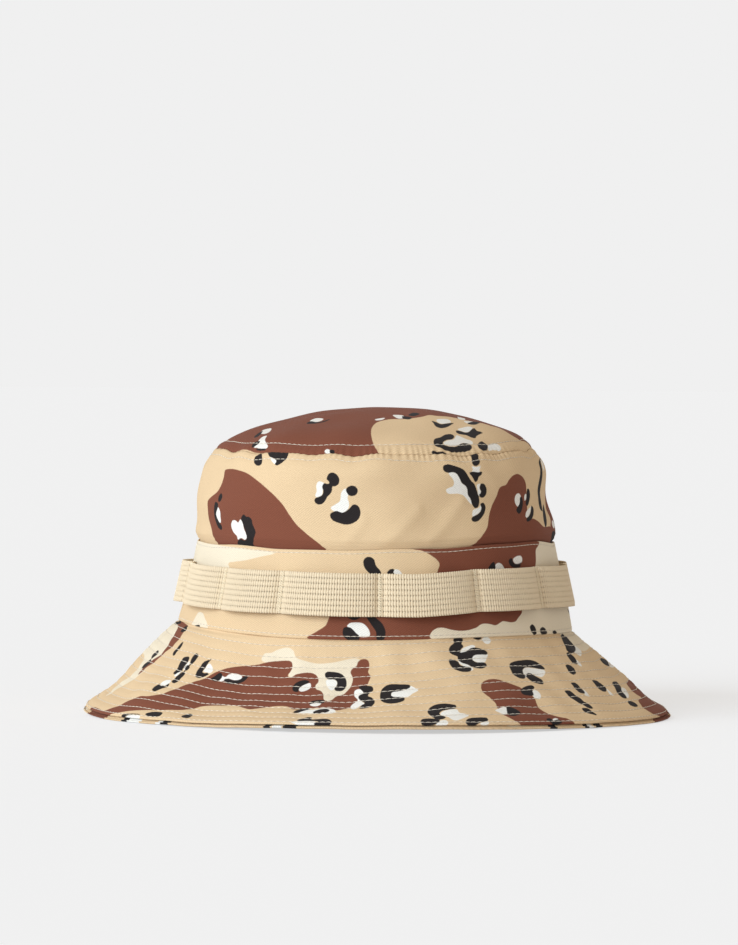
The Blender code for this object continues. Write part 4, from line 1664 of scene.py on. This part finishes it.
SIDE_PRINT = (
    UPPER_LEFT.patch(Cast.BROWN, (790, 402), (815, 399), (850, 405), (892, 419), (932, 446), (976, 481), (1030, 530),
                     (1076, 580), (1106, 626), (1147, 682), (1200, 730), (1246, 766), (1300, 808), (1330, 845),
                     (1000, 845), (770, 830), (716, 702), (702, 650), (697, 602), (697, 562), (715, 540),
                     (745, 515), (765, 480), (778, 440), (782, 412)),
    UPPER_LEFT.patch(Cast.BLACK, (968, 321), (973, 345), (969, 374), (950, 383), (933, 371), (932, 349), (945, 332)),
    UPPER_LEFT.patch(Cast.WHITE, (1010, 340), (1026, 344), (1046, 358), (1036, 374), (1021, 361)),
    UPPER_LEFT.patch(Cast.BLACK, (1004, 312), (1050, 314), (1103, 314), (1097, 345), (1076, 365), (1050, 381),
                     (1035, 375), (1045, 358), (1026, 344), (1008, 335)),
    UPPER_LEFT.patch(Cast.BLACK, (766, 522), (771, 540), (762, 561), (751, 565), (750, 548), (757, 530)),
    UPPER_LEFT.patch(Cast.WHITE, (748, 594), (758, 610), (761, 640), (763, 669), (754, 668), (744, 650), (739, 628)),
    UPPER_LEFT.patch(Cast.BLACK, (735, 567), (749, 575), (746, 600), (739, 626), (746, 650), (756, 670), (769, 690),
                     (766, 708), (750, 696), (738, 668), (730, 635), (729, 595)),
    UPPER_LEFT.patch(Cast.WHITE, (825, 659), (840, 661), (850, 671), (862, 654), (873, 672), (879, 700), (889, 725),
                     (894, 745), (885, 758), (865, 748), (850, 758), (845, 740), (828, 720), (817, 695), (817, 672)),
    UPPER_LEFT.patch(Cast.BLACK, (878, 629), (890, 640), (906, 642), (919, 655), (923, 678), (933, 700), (939, 720),
                     (931, 745), (926, 775), (922, 805), (850, 805), (847, 770), (862, 752), (882, 762), (894, 748),
                     (889, 720), (880, 695), (872, 670), (865, 650)),
    UPPER_LEFT.patch(Cast.WHITE, (1250, 470), (1262, 462), (1280, 468), (1290, 480), (1280, 500), (1275, 530),
                     (1255, 542), (1240, 536), (1248, 510), (1245, 490)),
    UPPER_LEFT.patch(Cast.BLACK, (1300, 440), (1308, 425), (1325, 417), (1345, 424), (1361, 445), (1361, 470),
                     (1345, 486), (1326, 489), (1326, 506), (1316, 526), (1301, 541), (1291, 561), (1275, 576),
                     (1254, 579), (1237, 565), (1240, 548), (1259, 540), (1276, 530), (1281, 510), (1275, 490),
                     (1285, 472), (1306, 475), (1311, 464), (1298, 452)),
    UPPER_LEFT.patch(Cast.WHITE, (1372, 520), (1392, 499), (1412, 512), (1404, 545), (1412, 575), (1404, 605),
                     (1376, 622), (1340, 616), (1318, 596), (1340, 580), (1366, 560)),
    UPPER_LEFT.patch(Cast.BLACK, (1396, 501), (1420, 484), (1446, 490), (1456, 511), (1444, 532), (1418, 536),
                     (1402, 522)),
    UPPER_LEFT.patch(Cast.BLACK, (1316, 628), (1346, 612), (1380, 620), (1410, 602), (1432, 580), (1456, 585),
                     (1469, 611), (1466, 641), (1446, 666), (1405, 681), (1360, 673), (1325, 656)),
    UPPER_RIGHT.patch(Cast.BLACK, (490, 308), (505, 301), (521, 307), (531, 322), (531, 338), (539, 346), (533, 365),
                      (515, 373), (502, 362), (499, 345), (497, 330)),
    UPPER_RIGHT.patch(Cast.WHITE, (499, 374), (520, 377), (543, 371), (536, 392), (541, 406), (500, 404), (504, 390)),
    UPPER_RIGHT.patch(Cast.BLACK, (486, 407), (505, 400), (530, 403), (549, 399), (546, 415), (533, 426), (526, 445),
                      (515, 451), (507, 436), (499, 422)),
    UPPER_RIGHT.patch(Cast.WHITE, (385, 405), (405, 402), (426, 411), (441, 436), (451, 456), (471, 471), (479, 491),
                      (481, 515), (494, 535), (499, 561), (485, 549), (470, 530), (455, 515), (430, 508), (400, 509),
                      (380, 506), (372, 490), (385, 480), (405, 472), (412, 455), (405, 435), (392, 420)),
    UPPER_RIGHT.patch(Cast.BLACK, (357, 381), (364, 368), (385, 364), (406, 369), (431, 377), (456, 388), (471, 405),
                      (483, 425), (496, 445), (511, 460), (521, 485), (529, 510), (536, 540), (531, 570), (515, 579),
                      (500, 561), (493, 535), (480, 515), (477, 490), (469, 471), (450, 456), (440, 436), (425, 411),
                      (405, 403), (385, 406), (364, 398)),
    UPPER_RIGHT.patch(Cast.WHITE, (523, 466), (541, 459), (536, 480), (546, 500), (541, 522), (529, 512), (527, 490)),
    UPPER_RIGHT.patch(Cast.BLACK, (544, 459), (561, 462), (571, 485), (569, 510), (556, 526), (540, 526), (535, 512),
                      (545, 500), (537, 480)),
    UPPER_RIGHT.patch(Cast.WHITE, (504, 590), (520, 582), (535, 575), (543, 559), (546, 580), (539, 597), (520, 612),
                      (502, 622)),
    UPPER_RIGHT.patch(Cast.BLACK, (540, 560), (555, 552), (566, 570), (563, 595), (551, 620), (531, 641), (510, 646),
                      (497, 636), (502, 622), (525, 610), (540, 596), (546, 576)),
    UPPER_RIGHT.patch(Cast.BROWN, (470, 790), (505, 756), (531, 735), (556, 705), (575, 670), (581, 630), (588, 595),
                      (600, 560), (620, 520), (632, 485), (645, 472), (666, 464), (681, 440), (700, 420), (722, 411),
                      (746, 424), (761, 450), (766, 485), (768, 535), (771, 590), (776, 630), (800, 630), (826, 645),
                      (852, 670), (880, 668), (897, 680),
                      behind=((95.0, 26.0), (108.0, 24.0), (117.0, 33.0), (110.0, 46.0), (98.0, 52.0))),
    Patch(Cast.BROWN, (), ((88.0, 20.0), (84.0, 22.5), (82.5, 25.0), (80.0, 28.7), (80.8, 32.0), (80.2, 34.2),
                           (78.0, 36.5), (77.5, 38.0), (80.0, 41.0), (90.0, 42.0), (96.0, 36.0), (94.0, 26.0))),
    UPPER_RIGHT.patch(Cast.WHITE, (714, 515), (728, 506), (739, 520), (736, 545), (725, 571), (714, 560), (709, 540)),
    UPPER_RIGHT.patch(Cast.BLACK, (736, 524), (746, 530), (749, 560), (741, 595), (728, 606), (717, 591), (722, 575),
                      (733, 555)),
    UPPER_RIGHT.patch(Cast.BLACK, (770, 486), (781, 490), (784, 520), (779, 550), (770, 569), (762, 555), (766, 533)),
    UPPER_RIGHT.patch(Cast.WHITE, (757, 516), (766, 508), (765, 533), (757, 541)),
    UPPER_RIGHT.patch(Cast.WHITE, (764, 601), (780, 578), (791, 569), (786, 595), (776, 620), (764, 627)),
    UPPER_RIGHT.patch(Cast.BLACK, (791, 567), (801, 580), (801, 610), (789, 636), (770, 646), (767, 631), (780, 615),
                      (787, 595)),
    UPPER_RIGHT.patch(Cast.BLACK, (819, 319), (836, 345), (844, 390), (841, 450), (833, 500), (839, 550), (844, 592),
                      (832, 580), (824, 530), (821, 490), (829, 440), (834, 390), (828, 345)),
    Patch(Cast.WHITE, (), ((80.5, 5.6), (82.0, 7.0), (81.2, 9.0), (79.6, 11.0), (78.6, 10.6), (79.3, 8.0))),
    UPPER_RIGHT.patch(Cast.BLACK, (849, 558), (859, 600), (866, 650), (860, 674), (851, 640), (847, 600)),
    UPPER_RIGHT.patch(Cast.WHITE, (893, 638), (904, 660), (901, 678), (892, 660)),
    UPPER_RIGHT.patch(Cast.BLACK, (884, 747), (891, 702), (904, 690), (902, 720), (893, 748)),
)

BAND_PRINT = (
    LOWER_LEFT.patch(Cast.PALE, (700, 12), (790, 32), (900, 48), (1050, 62), (960, 85), (890, 102), (830, 110),
                     (800, 118), (790, 160), (640, 170), (620, 100), behind=((-98.0, 14.0), (-102.0, 2.0))),
    LOWER_LEFT.patch(Cast.PALE, (650, 367), (672, 371), (683, 398), (693, 420), (704, 460), (640, 455), (624, 440),
                     (626, 405)),
    LOWER_LEFT.patch(Cast.BLACK, (634, 436), (655, 429), (662, 450), (640, 455)),
    UPPER_RIGHT.patch(Cast.BROWN, (190, 760), (215, 781), (260, 789), (300, 811), (331, 835), (341, 856), (332, 890),
                      (340, 930), (800, 930), (808, 876), (813, 840), (812, 785), (812, 740), (500, 745), (300, 752)),
    UPPER_RIGHT.patch(Cast.PALE, (905, 900), (800, 910), (800, 745), (880, 742),
                      behind=((98.0, 1.0), (106.0, 8.0), (100.0, 16.0))),
    UPPER_RIGHT.patch(Cast.WHITE, (699, 830), (720, 814), (741, 814), (746, 835), (736, 849), (715, 853), (704, 842)),
    UPPER_RIGHT.patch(Cast.BLACK, (679, 836), (695, 824), (704, 848), (725, 852), (741, 845), (736, 866), (715, 873),
                      (689, 862)),
    UPPER_RIGHT.patch(Cast.BLACK, (578, 875), (600, 844), (613, 850), (612, 885), (585, 890)),
    UPPER_RIGHT.patch(Cast.WHITE, (611, 862), (630, 847), (651, 860), (658, 890), (610, 890)),
    LOWER_LEFT.patch(Cast.BLACK, (1483, 110), (1495, 90), (1515, 85), (1538, 98), (1548, 130), (1572, 160),
                     (1575, 195), (1545, 195), (1510, 165), (1490, 140)),
    LOWER_RIGHT.patch(Cast.BLACK, (84, 158), (100, 143), (120, 143), (114, 160), (125, 175), (90, 172)),
    LOWER_RIGHT.patch(Cast.WHITE, (120, 145), (143, 148), (158, 172), (126, 172), (115, 158)),
    Patch(
        Cast.BROWN,
        LOWER_LEFT.at((1205, 500), (1246, 464), (1291, 434), (1310, 395), (1330, 370))
        + LOWER_RIGHT.at((0, 355), (400, 345), (728, 335), (722, 388), (700, 403), (670, 400), (650, 398), (631, 410),
                         (615, 418), (586, 412), (560, 410), (540, 415), (520, 430), (480, 442), (440, 445),
                         (400, 440), (360, 430), (330, 432), (305, 448), (289, 472), (268, 505), (0, 510))
        + LOWER_LEFT.at((1400, 525)),
    ),
    LOWER_RIGHT.patch(Cast.PALE, (900, 468), (700, 485), (500, 497), (268, 508), (289, 472), (305, 448), (345, 420),
                      (700, 380), (720, 345), (930, 325), behind=((98.0, 26.0), (102.0, 34.0), (98.0, 41.0))),
    LOWER_LEFT.patch(Cast.WHITE, (1400, 440), (1415, 421), (1446, 417), (1481, 422), (1506, 445), (1517, 470),
                     (1511, 489), (1465, 489), (1440, 465), (1420, 448)),
    LOWER_LEFT.patch(Cast.BLACK, (1379, 466), (1384, 445), (1405, 440), (1425, 447), (1446, 470), (1467, 490),
                     (1455, 510), (1410, 508), (1384, 487)),
    LOWER_LEFT.patch(Cast.BLACK, (1402, 384), (1472, 384), (1450, 403), (1424, 403)),
    Patch(
        Cast.BLACK,
        LOWER_LEFT.at((1496, 382))
        + LOWER_RIGHT.at((0, 362), (28, 381), (56, 405), (73, 435), (76, 462), (66, 490), (34, 490), (30, 452),
                         (18, 432))
        + LOWER_LEFT.at((1520, 422)),
    ),
    LOWER_RIGHT.patch(Cast.BLACK, (783, 425), (795, 413), (808, 425), (817, 455), (800, 466), (788, 445)),
    LOWER_RIGHT.patch(Cast.BLACK, (832, 440), (846, 426), (862, 440), (868, 458), (840, 462)),
    LOWER_RIGHT.patch(Cast.BLACK, (892, 450), (905, 442), (916, 456), (898, 462)),
    LOWER_RIGHT.patch(Cast.BLACK, (968, 335), (980, 345), (986, 375), (978, 370), (970, 350)),
)

BRIM_PRINT = (
    LOWER_LEFT.patch(Cast.PALE, (535, 400), (556, 420), (560, 470), (530, 520), (480, 570), (440, 602), (400, 632),
                     (350, 682), (300, 718), (255, 745), (180, 790), (245, 732), (310, 685), (350, 640), (376, 592),
                     (372, 560), (420, 510), (480, 450)),
    LOWER_LEFT.patch(Cast.BROWN, (555, 405), (580, 420), (596, 436), (580, 460), (560, 490), (535, 520), (505, 551),
                     (470, 581), (440, 606), (410, 630), (376, 656), (344, 684), (360, 660), (385, 632), (415, 610),
                     (445, 590), (475, 560), (500, 525), (525, 485), (545, 445)),
    Patch(Cast.BLACK, (), ((-90.0, 1.2), (-83.0, 0.6), (-80.0, 2.0), (-81.0, 3.6), (-88.0, 3.8))),
    LOWER_LEFT.patch(Cast.BLACK, (597, 432), (591, 453), (570, 466), (559, 460), (576, 440)),
    LOWER_LEFT.patch(Cast.BLACK, (441, 559), (449, 563), (440, 580), (425, 591), (411, 601), (418, 580)),
    LOWER_LEFT.patch(Cast.BLACK, (405, 604), (411, 612), (395, 631), (374, 647), (363, 647), (380, 625)),
    LOWER_LEFT.patch(Cast.BLACK, (573, 514), (566, 536), (546, 560), (531, 581), (519, 583), (528, 560), (548, 539)),
    LOWER_LEFT.patch(Cast.BLACK, (601, 590), (603, 601), (585, 631), (565, 661), (545, 671), (530, 681), (522, 672),
                     (540, 655), (548, 640), (560, 615), (575, 594)),
    LOWER_LEFT.patch(Cast.WHITE, (602, 611), (607, 620), (586, 651), (574, 661), (580, 640)),
    LOWER_LEFT.patch(Cast.WHITE, (529, 680), (550, 668), (563, 664), (546, 683), (529, 692)),
    LOWER_LEFT.patch(Cast.BLACK, (635, 574), (650, 582), (641, 601), (626, 620), (606, 632), (612, 606)),
    LOWER_LEFT.patch(Cast.BLACK, (599, 631), (606, 645), (590, 661), (579, 655)),
    LOWER_LEFT.patch(Cast.BLACK, (575, 664), (581, 680), (556, 706), (530, 724), (513, 716), (530, 700), (550, 681)),
    LOWER_LEFT.patch(Cast.WHITE, (460, 725), (485, 709), (512, 709), (501, 726), (475, 736), (455, 738)),
    LOWER_LEFT.patch(Cast.BLACK, (502, 726), (496, 741), (460, 753), (430, 766), (414, 758), (430, 740), (460, 721),
                     (455, 736), (480, 736)),
    LOWER_LEFT.patch(Cast.WHITE, (705, 624), (719, 640), (723, 660), (711, 673), (690, 669), (674, 665), (690, 640)),
    LOWER_LEFT.patch(Cast.BLACK, (714, 603), (701, 620), (686, 645), (671, 664), (676, 673), (696, 672), (702, 680),
                     (676, 693), (650, 698), (634, 689), (640, 668), (660, 640), (680, 615)),
    LOWER_LEFT.patch(Cast.PALE, (968, 602), (984, 575), (1020, 570), (1050, 555), (1100, 544), (1130, 560),
                     (1141, 590), (1171, 606), (1250, 625), (1330, 620), (1400, 605), (1452, 600), (1475, 625),
                     (1455, 690), (1440, 740), (1400, 800), (1300, 830), (1240, 800), (1190, 720), (1120, 725),
                     (1095, 640), (1030, 622), (985, 618)),
    LOWER_LEFT.patch(Cast.BROWN, (100, 880), (150, 867), (215, 849), (281, 820), (330, 800), (360, 789), (400, 789),
                     (470, 778), (545, 750), (620, 720), (660, 708), (700, 690), (760, 660), (850, 640), (910, 635),
                     (960, 628), (1030, 614), (1090, 610), (1119, 615), (1126, 640), (1116, 665), (1101, 686),
                     (1116, 695), (1140, 682), (1170, 674), (1210, 671), (1241, 680), (1256, 700), (1256, 720),
                     (1242, 736), (1246, 755), (1266, 762), (1281, 780), (1284, 806), (1302, 815), (1326, 808),
                     (1350, 790), (1385, 780), (1410, 755), (1425, 730), (1431, 700), (1419, 671), (1430, 650),
                     (1450, 638), (1456, 618), (1475, 604), (1500, 604), (1513, 620), (1513, 650), (1508, 670),
                     (1521, 690), (1512, 715), (1500, 740), (1480, 780), (1480, 810), (1450, 835), (1405, 852),
                     (1350, 862), (1300, 852), (1200, 852), (1130, 857), (1108, 846), (1060, 840), (1000, 846),
                     (920, 856), (880, 850), (840, 838), (760, 838), (680, 840), (620, 855), (560, 860), (490, 860),
                     (400, 860), (352, 861), (255, 872), (207, 881), (196, 892), (168, 914), (110, 905)),
    LOWER_LEFT.patch(Cast.WHITE, (1295, 711), (1310, 706), (1336, 707), (1351, 720), (1346, 738), (1337, 753),
                     (1320, 761), (1304, 746), (1297, 730)),
    LOWER_LEFT.patch(Cast.BLACK, (1289, 680), (1300, 667), (1330, 667), (1366, 674), (1391, 695), (1399, 720),
                     (1396, 746), (1376, 763), (1345, 763), (1337, 751), (1350, 735), (1350, 715), (1335, 705),
                     (1310, 705), (1294, 696)),
    LOWER_LEFT.patch(Cast.WHITE, (1163, 746), (1190, 730), (1215, 724), (1219, 740), (1206, 756), (1180, 766),
                     (1159, 763)),
    LOWER_LEFT.patch(Cast.BLACK, (1124, 751), (1135, 730), (1165, 712), (1195, 709), (1213, 718), (1195, 728),
                     (1170, 740), (1156, 755), (1155, 767), (1134, 767)),
    LOWER_LEFT.patch(Cast.WHITE, (744, 701), (765, 685), (785, 694), (805, 680), (840, 676), (871, 690), (861, 706),
                     (830, 709), (800, 701), (776, 713), (755, 713)),
    LOWER_LEFT.patch(Cast.BLACK, (711, 701), (730, 690), (760, 671), (771, 685), (761, 705), (735, 716)),
    LOWER_LEFT.patch(Cast.BLACK, (779, 706), (800, 702), (830, 710), (860, 705), (880, 690), (901, 690), (891, 706),
                     (871, 720), (840, 729), (810, 729), (785, 721)),
    LOWER_LEFT.patch(Cast.WHITE, (282, 894), (298, 887), (340, 885), (356, 891), (350, 904), (338, 916), (302, 918),
                     (284, 906)),
    LOWER_LEFT.patch(Cast.BLACK, (259, 890), (266, 882), (281, 878), (315, 877), (355, 881), (348, 885), (292, 887),
                     (281, 894), (278, 902), (298, 919), (285, 921), (273, 911), (270, 901), (262, 899)),
    LOWER_LEFT.patch(Cast.BLACK, (379, 881), (420, 869), (467, 872), (456, 889), (420, 894), (394, 891)),
    LOWER_LEFT.patch(Cast.BLACK, (563, 891), (600, 879), (622, 885), (602, 899), (574, 899)),
    LOWER_LEFT.patch(Cast.WHITE, (1213, 831), (1245, 824), (1271, 825), (1256, 839), (1225, 840)),
    LOWER_LEFT.patch(Cast.BLACK, (1209, 831), (1224, 814), (1287, 811), (1276, 826), (1240, 824)),
    LOWER_LEFT.patch(Cast.WHITE, (1148, 872), (1190, 858), (1232, 857), (1300, 850), (1345, 866), (1310, 878),
                     (1210, 877), (1170, 877)),
    LOWER_LEFT.patch(Cast.BLACK, (1128, 871), (1170, 855), (1222, 851), (1180, 865), (1150, 876)),
    LOWER_LEFT.patch(Cast.BLACK, (1228, 871), (1260, 857), (1301, 854), (1312, 865), (1280, 876), (1245, 880)),
    LOWER_LEFT.patch(Cast.WHITE, (1116, 921), (1165, 914), (1238, 918), (1238, 940), (1160, 942)),
    LOWER_LEFT.patch(Cast.BLACK, (1163, 906), (1200, 896), (1227, 900), (1222, 908), (1290, 904), (1322, 915),
                     (1317, 936), (1295, 947), (1240, 947), (1235, 926), (1255, 918), (1200, 915), (1150, 915)),
    LOWER_LEFT.patch(Cast.BLACK, (983, 936), (1022, 939), (1012, 948)),
    LOWER_LEFT.patch(Cast.BLACK, (1084, 939), (1157, 944), (1152, 960), (1084, 957)),
    LOWER_LEFT.patch(Cast.WHITE, (1439, 790), (1440, 764), (1465, 754), (1486, 775), (1465, 785), (1460, 800),
                     (1476, 818), (1489, 828), (1465, 841), (1435, 857), (1418, 846), (1445, 820), (1456, 810)),
    LOWER_LEFT.patch(Cast.BLACK, (1460, 744), (1490, 737), (1526, 740), (1534, 760), (1516, 775), (1507, 789),
                     (1531, 800), (1542, 820), (1526, 841), (1490, 852), (1461, 852), (1475, 836), (1491, 825),
                     (1475, 815), (1459, 800), (1465, 785), (1486, 775), (1475, 760)),
    LOWER_RIGHT.patch(Cast.WHITE, (110, 745), (140, 740), (175, 732), (195, 715), (220, 724), (237, 737), (211, 751),
                      (190, 766), (170, 771), (130, 771), (104, 765)),
    LOWER_RIGHT.patch(Cast.BLACK, (54, 741), (70, 720), (100, 707), (150, 707), (191, 709), (197, 720), (176, 733),
                      (140, 741), (110, 746), (105, 764), (130, 769), (166, 771), (167, 786), (135, 798), (90, 801),
                      (59, 791), (49, 770)),
    LOWER_RIGHT.patch(Cast.WHITE, (440, 556), (450, 535), (480, 520), (505, 514), (516, 525), (490, 536), (470, 551),
                      (450, 561)),
    LOWER_RIGHT.patch(Cast.WHITE, (499, 585), (510, 565), (545, 559), (577, 559), (571, 580), (561, 599), (525, 599)),
    LOWER_RIGHT.patch(Cast.BLACK, (386, 541), (394, 520), (412, 503), (409, 484), (430, 480), (456, 489), (448, 508),
                      (459, 521), (446, 536), (440, 551), (470, 546), (500, 528), (540, 532), (571, 545), (572, 561),
                      (540, 561), (510, 566), (501, 585), (520, 599), (560, 600), (572, 615), (550, 629), (510, 626),
                      (480, 611), (450, 601), (430, 586), (429, 571), (400, 559)),
    LOWER_RIGHT.patch(Cast.WHITE, (430, 589), (455, 600), (485, 614), (508, 632), (490, 640), (460, 620), (440, 606)),
    LOWER_RIGHT.patch(Cast.BLACK, (386, 590), (400, 584), (430, 595), (441, 612), (470, 621), (496, 626), (491, 643),
                      (455, 646), (420, 636), (394, 613)),
    LOWER_RIGHT.patch(Cast.BLACK, (508, 478), (547, 474), (537, 490), (515, 489)),
    LOWER_RIGHT.patch(Cast.WHITE, (549, 484), (570, 474), (590, 488), (586, 506), (565, 507), (554, 496)),
    LOWER_RIGHT.patch(Cast.WHITE, (749, 636), (765, 625), (790, 627), (830, 633), (857, 638), (857, 656), (841, 671),
                      (815, 666), (790, 656), (770, 661), (765, 682), (751, 656)),
    LOWER_RIGHT.patch(Cast.BLACK, (684, 610), (700, 597), (740, 589), (780, 587), (816, 597), (841, 615), (857, 633),
                      (830, 632), (790, 625), (760, 625), (748, 641), (760, 665), (756, 679), (730, 676), (704, 661),
                      (689, 635)),
    LOWER_RIGHT.patch(Cast.BLACK, (769, 655), (790, 654), (816, 670), (847, 690), (847, 707), (820, 703), (790, 691),
                      (769, 673)),
    LOWER_RIGHT.patch(Cast.BROWN, (544, 720), (550, 700), (575, 685), (610, 681), (650, 690), (700, 708), (741, 725),
                      (781, 755), (806, 775), (816, 800), (836, 830), (870, 850), (920, 865), (970, 876), (1002, 900),
                      (1005, 925), (900, 930), (755, 925), (735, 901), (700, 880), (660, 860), (630, 830), (615, 800),
                      (590, 775), (570, 760), (550, 741)),
    LOWER_RIGHT.patch(Cast.WHITE, (795, 742), (811, 734), (837, 760), (832, 779), (805, 773), (797, 755)),
    LOWER_RIGHT.patch(Cast.BLACK, (739, 736), (755, 720), (790, 711), (806, 722), (796, 740), (801, 761), (770, 761),
                      (745, 753)),
    LOWER_RIGHT.patch(Cast.WHITE, (613, 836), (635, 824), (660, 817), (676, 825), (681, 846), (660, 856), (635, 846)),
    LOWER_RIGHT.patch(Cast.BLACK, (669, 819), (690, 819), (731, 838), (737, 851), (710, 861), (679, 859), (671, 840)),
    LOWER_RIGHT.patch(Cast.WHITE, (894, 880), (910, 872), (927, 882), (911, 892)),
    LOWER_RIGHT.patch(Cast.BLACK, (863, 881), (880, 872), (900, 886), (921, 878), (942, 890), (931, 902), (911, 912),
                      (894, 922)),
    LOWER_RIGHT.patch(Cast.WHITE, (344, 855), (360, 838), (400, 829), (426, 829), (436, 845), (460, 850), (486, 860),
                      (461, 871), (430, 883), (405, 881), (380, 866), (360, 863)),
    LOWER_RIGHT.patch(Cast.BLACK, (282, 846), (290, 825), (320, 807), (360, 801), (395, 804), (422, 810), (416, 826),
                      (380, 831), (350, 839), (341, 855), (371, 866), (360, 877), (325, 877), (299, 863)),
    LOWER_RIGHT.patch(Cast.WHITE, (324, 901), (345, 885), (376, 884), (382, 901), (350, 912), (325, 910)),
    LOWER_RIGHT.patch(Cast.BLACK, (248, 891), (259, 877), (300, 874), (342, 882), (331, 896), (316, 906), (260, 912)),
    LOWER_RIGHT.patch(Cast.WHITE, (538, 900), (560, 891), (577, 884), (582, 901), (560, 910)),
    LOWER_RIGHT.patch(Cast.BLACK, (468, 891), (485, 874), (530, 869), (572, 871), (577, 886), (545, 893), (520, 907),
                      (479, 910)),
    LOWER_RIGHT.patch(Cast.WHITE, (1000, 519), (1021, 530), (1037, 550), (1032, 569), (1010, 556), (999, 549)),
    LOWER_RIGHT.patch(Cast.BLACK, (934, 468), (951, 468), (976, 490), (1002, 520), (1007, 541), (990, 555), (964, 541),
                      (954, 515), (944, 495)),
    LOWER_RIGHT.patch(Cast.WHITE, (1009, 583), (1031, 605), (1037, 622), (1019, 610)),
    LOWER_RIGHT.patch(Cast.BLACK, (963, 554), (981, 557), (1006, 580), (1017, 607), (1000, 607), (979, 586)),
    LOWER_RIGHT.patch(Cast.BLACK, (958, 615), (975, 611), (1001, 630), (1010, 651), (995, 660), (974, 646)),
    LOWER_RIGHT.patch(Cast.PALE, (926, 455), (955, 450), (990, 447), (1020, 462), (1052, 488), (1085, 532),
                      (1060, 541), (1034, 541), (1014, 530), (972, 500), (940, 472)),
    Patch(Cast.WHITE, (), ((80.5, 24.2), (85.0, 23.8), (88.5, 25.6), (88.0, 28.0), (84.0, 27.8), (79.5, 26.6))),
    Patch(Cast.BLACK, (), ((78.0, 20.6), (84.0, 20.6), (87.0, 23.6), (82.0, 25.8), (78.8, 25.6), (76.3, 23.6))),
    LOWER_RIGHT.patch(Cast.WHITE, (1150, 724), (1167, 735), (1197, 762), (1174, 756)),
    LOWER_RIGHT.patch(Cast.BLACK, (1088, 690), (1105, 687), (1126, 700), (1152, 720), (1157, 742), (1134, 739),
                      (1114, 723)),
    LOWER_RIGHT.patch(Cast.WHITE, (1040, 729), (1061, 745), (1077, 767), (1054, 761)),
    LOWER_RIGHT.patch(Cast.BLACK, (984, 700), (1005, 699), (1026, 718), (1047, 738), (1052, 752), (1024, 746),
                      (999, 721)),
    LOWER_RIGHT.patch(Cast.BLACK, (953, 740), (975, 737), (1001, 755), (1031, 775), (1047, 796), (1030, 802),
                      (1004, 786), (974, 766)),
    LOWER_RIGHT.patch(Cast.BLACK, (1038, 800), (1060, 796), (1086, 815), (1092, 827), (1064, 821)),
    LOWER_RIGHT.patch(Cast.BLACK, (1038, 824), (1065, 824), (1096, 845), (1112, 859), (1080, 852), (1049, 841)),
    LOWER_RIGHT.patch(Cast.WHITE, (1234, 722), (1252, 729), (1264, 750), (1266, 774), (1250, 764), (1230, 748),
                      (1230, 736)),
    LOWER_RIGHT.patch(Cast.BLACK, (1188, 697), (1210, 694), (1226, 715), (1232, 735), (1252, 760), (1257, 777),
                      (1234, 771), (1209, 746), (1199, 721)),
    LOWER_RIGHT.patch(Cast.BLACK, (1263, 789), (1285, 791), (1312, 810), (1301, 818), (1274, 809)),
    LOWER_RIGHT.patch(Cast.BROWN, (1433, 890), (1424, 868), (1402, 858), (1369, 842), (1344, 826), (1324, 803),
                      (1315, 788), (1322, 778), (1329, 771), (1307, 758), (1287, 743), (1263, 713), (1257, 698),
                      (1246, 664),
                      behind=((97.0, 22.0), (106.0, 24.0), (113.0, 38.0), (108.0, 54.0), (98.0, 66.0))),
    Patch(Cast.BROWN, (), ((-74.5, 60.0), (-65.0, 60.4), (-65.0, 65.0), (-74.5, 65.0))),
    Patch(Cast.BROWN, (), ((71.0, 60.4), (84.0, 59.0), (100.0, 59.0), (100.0, 65.0), (71.0, 65.0))),
)

RIM_PRINT = (
    rim_patch(Cast.BROWN, -74.5, -64.0),
    rim_patch(Cast.BLACK, -55.9, -54.4),
    rim_patch(Cast.WHITE, -54.4, -51.0),
    rim_patch(Cast.WHITE, -46.0, -44.8),
    rim_patch(Cast.BLACK, -44.7, -43.1),
    rim_patch(Cast.BLACK, -21.1, -20.0),
    rim_patch(Cast.WHITE, -19.3, -17.8),
    rim_patch(Cast.BLACK, -17.1, -15.0),
    rim_patch(Cast.BLACK, 34.2, 35.6),
    rim_patch(Cast.BLACK, 42.5, 43.4),
    rim_patch(Cast.WHITE, 43.6, 44.5),
    rim_patch(Cast.BLACK, 45.3, 46.7),
    rim_patch(Cast.BROWN, 68.0, 105.0),
)


def main() -> None:
    """Builds the hat, then the studio round it."""
    logging.basicConfig(level=logging.INFO, format="%(name)s %(message)s")
    camera = PhotoCamera()
    sizes = HatSizes.from_frame()
    finishes = Finishes.make()
    Crown(sizes, finishes, camera).build()
    BranchLoops(sizes, finishes).build()
    Brim(sizes, finishes, camera).build()
    Inside(sizes, finishes).build()
    Studio().build()
    camera.place()


if __name__ == "__main__":
    main()
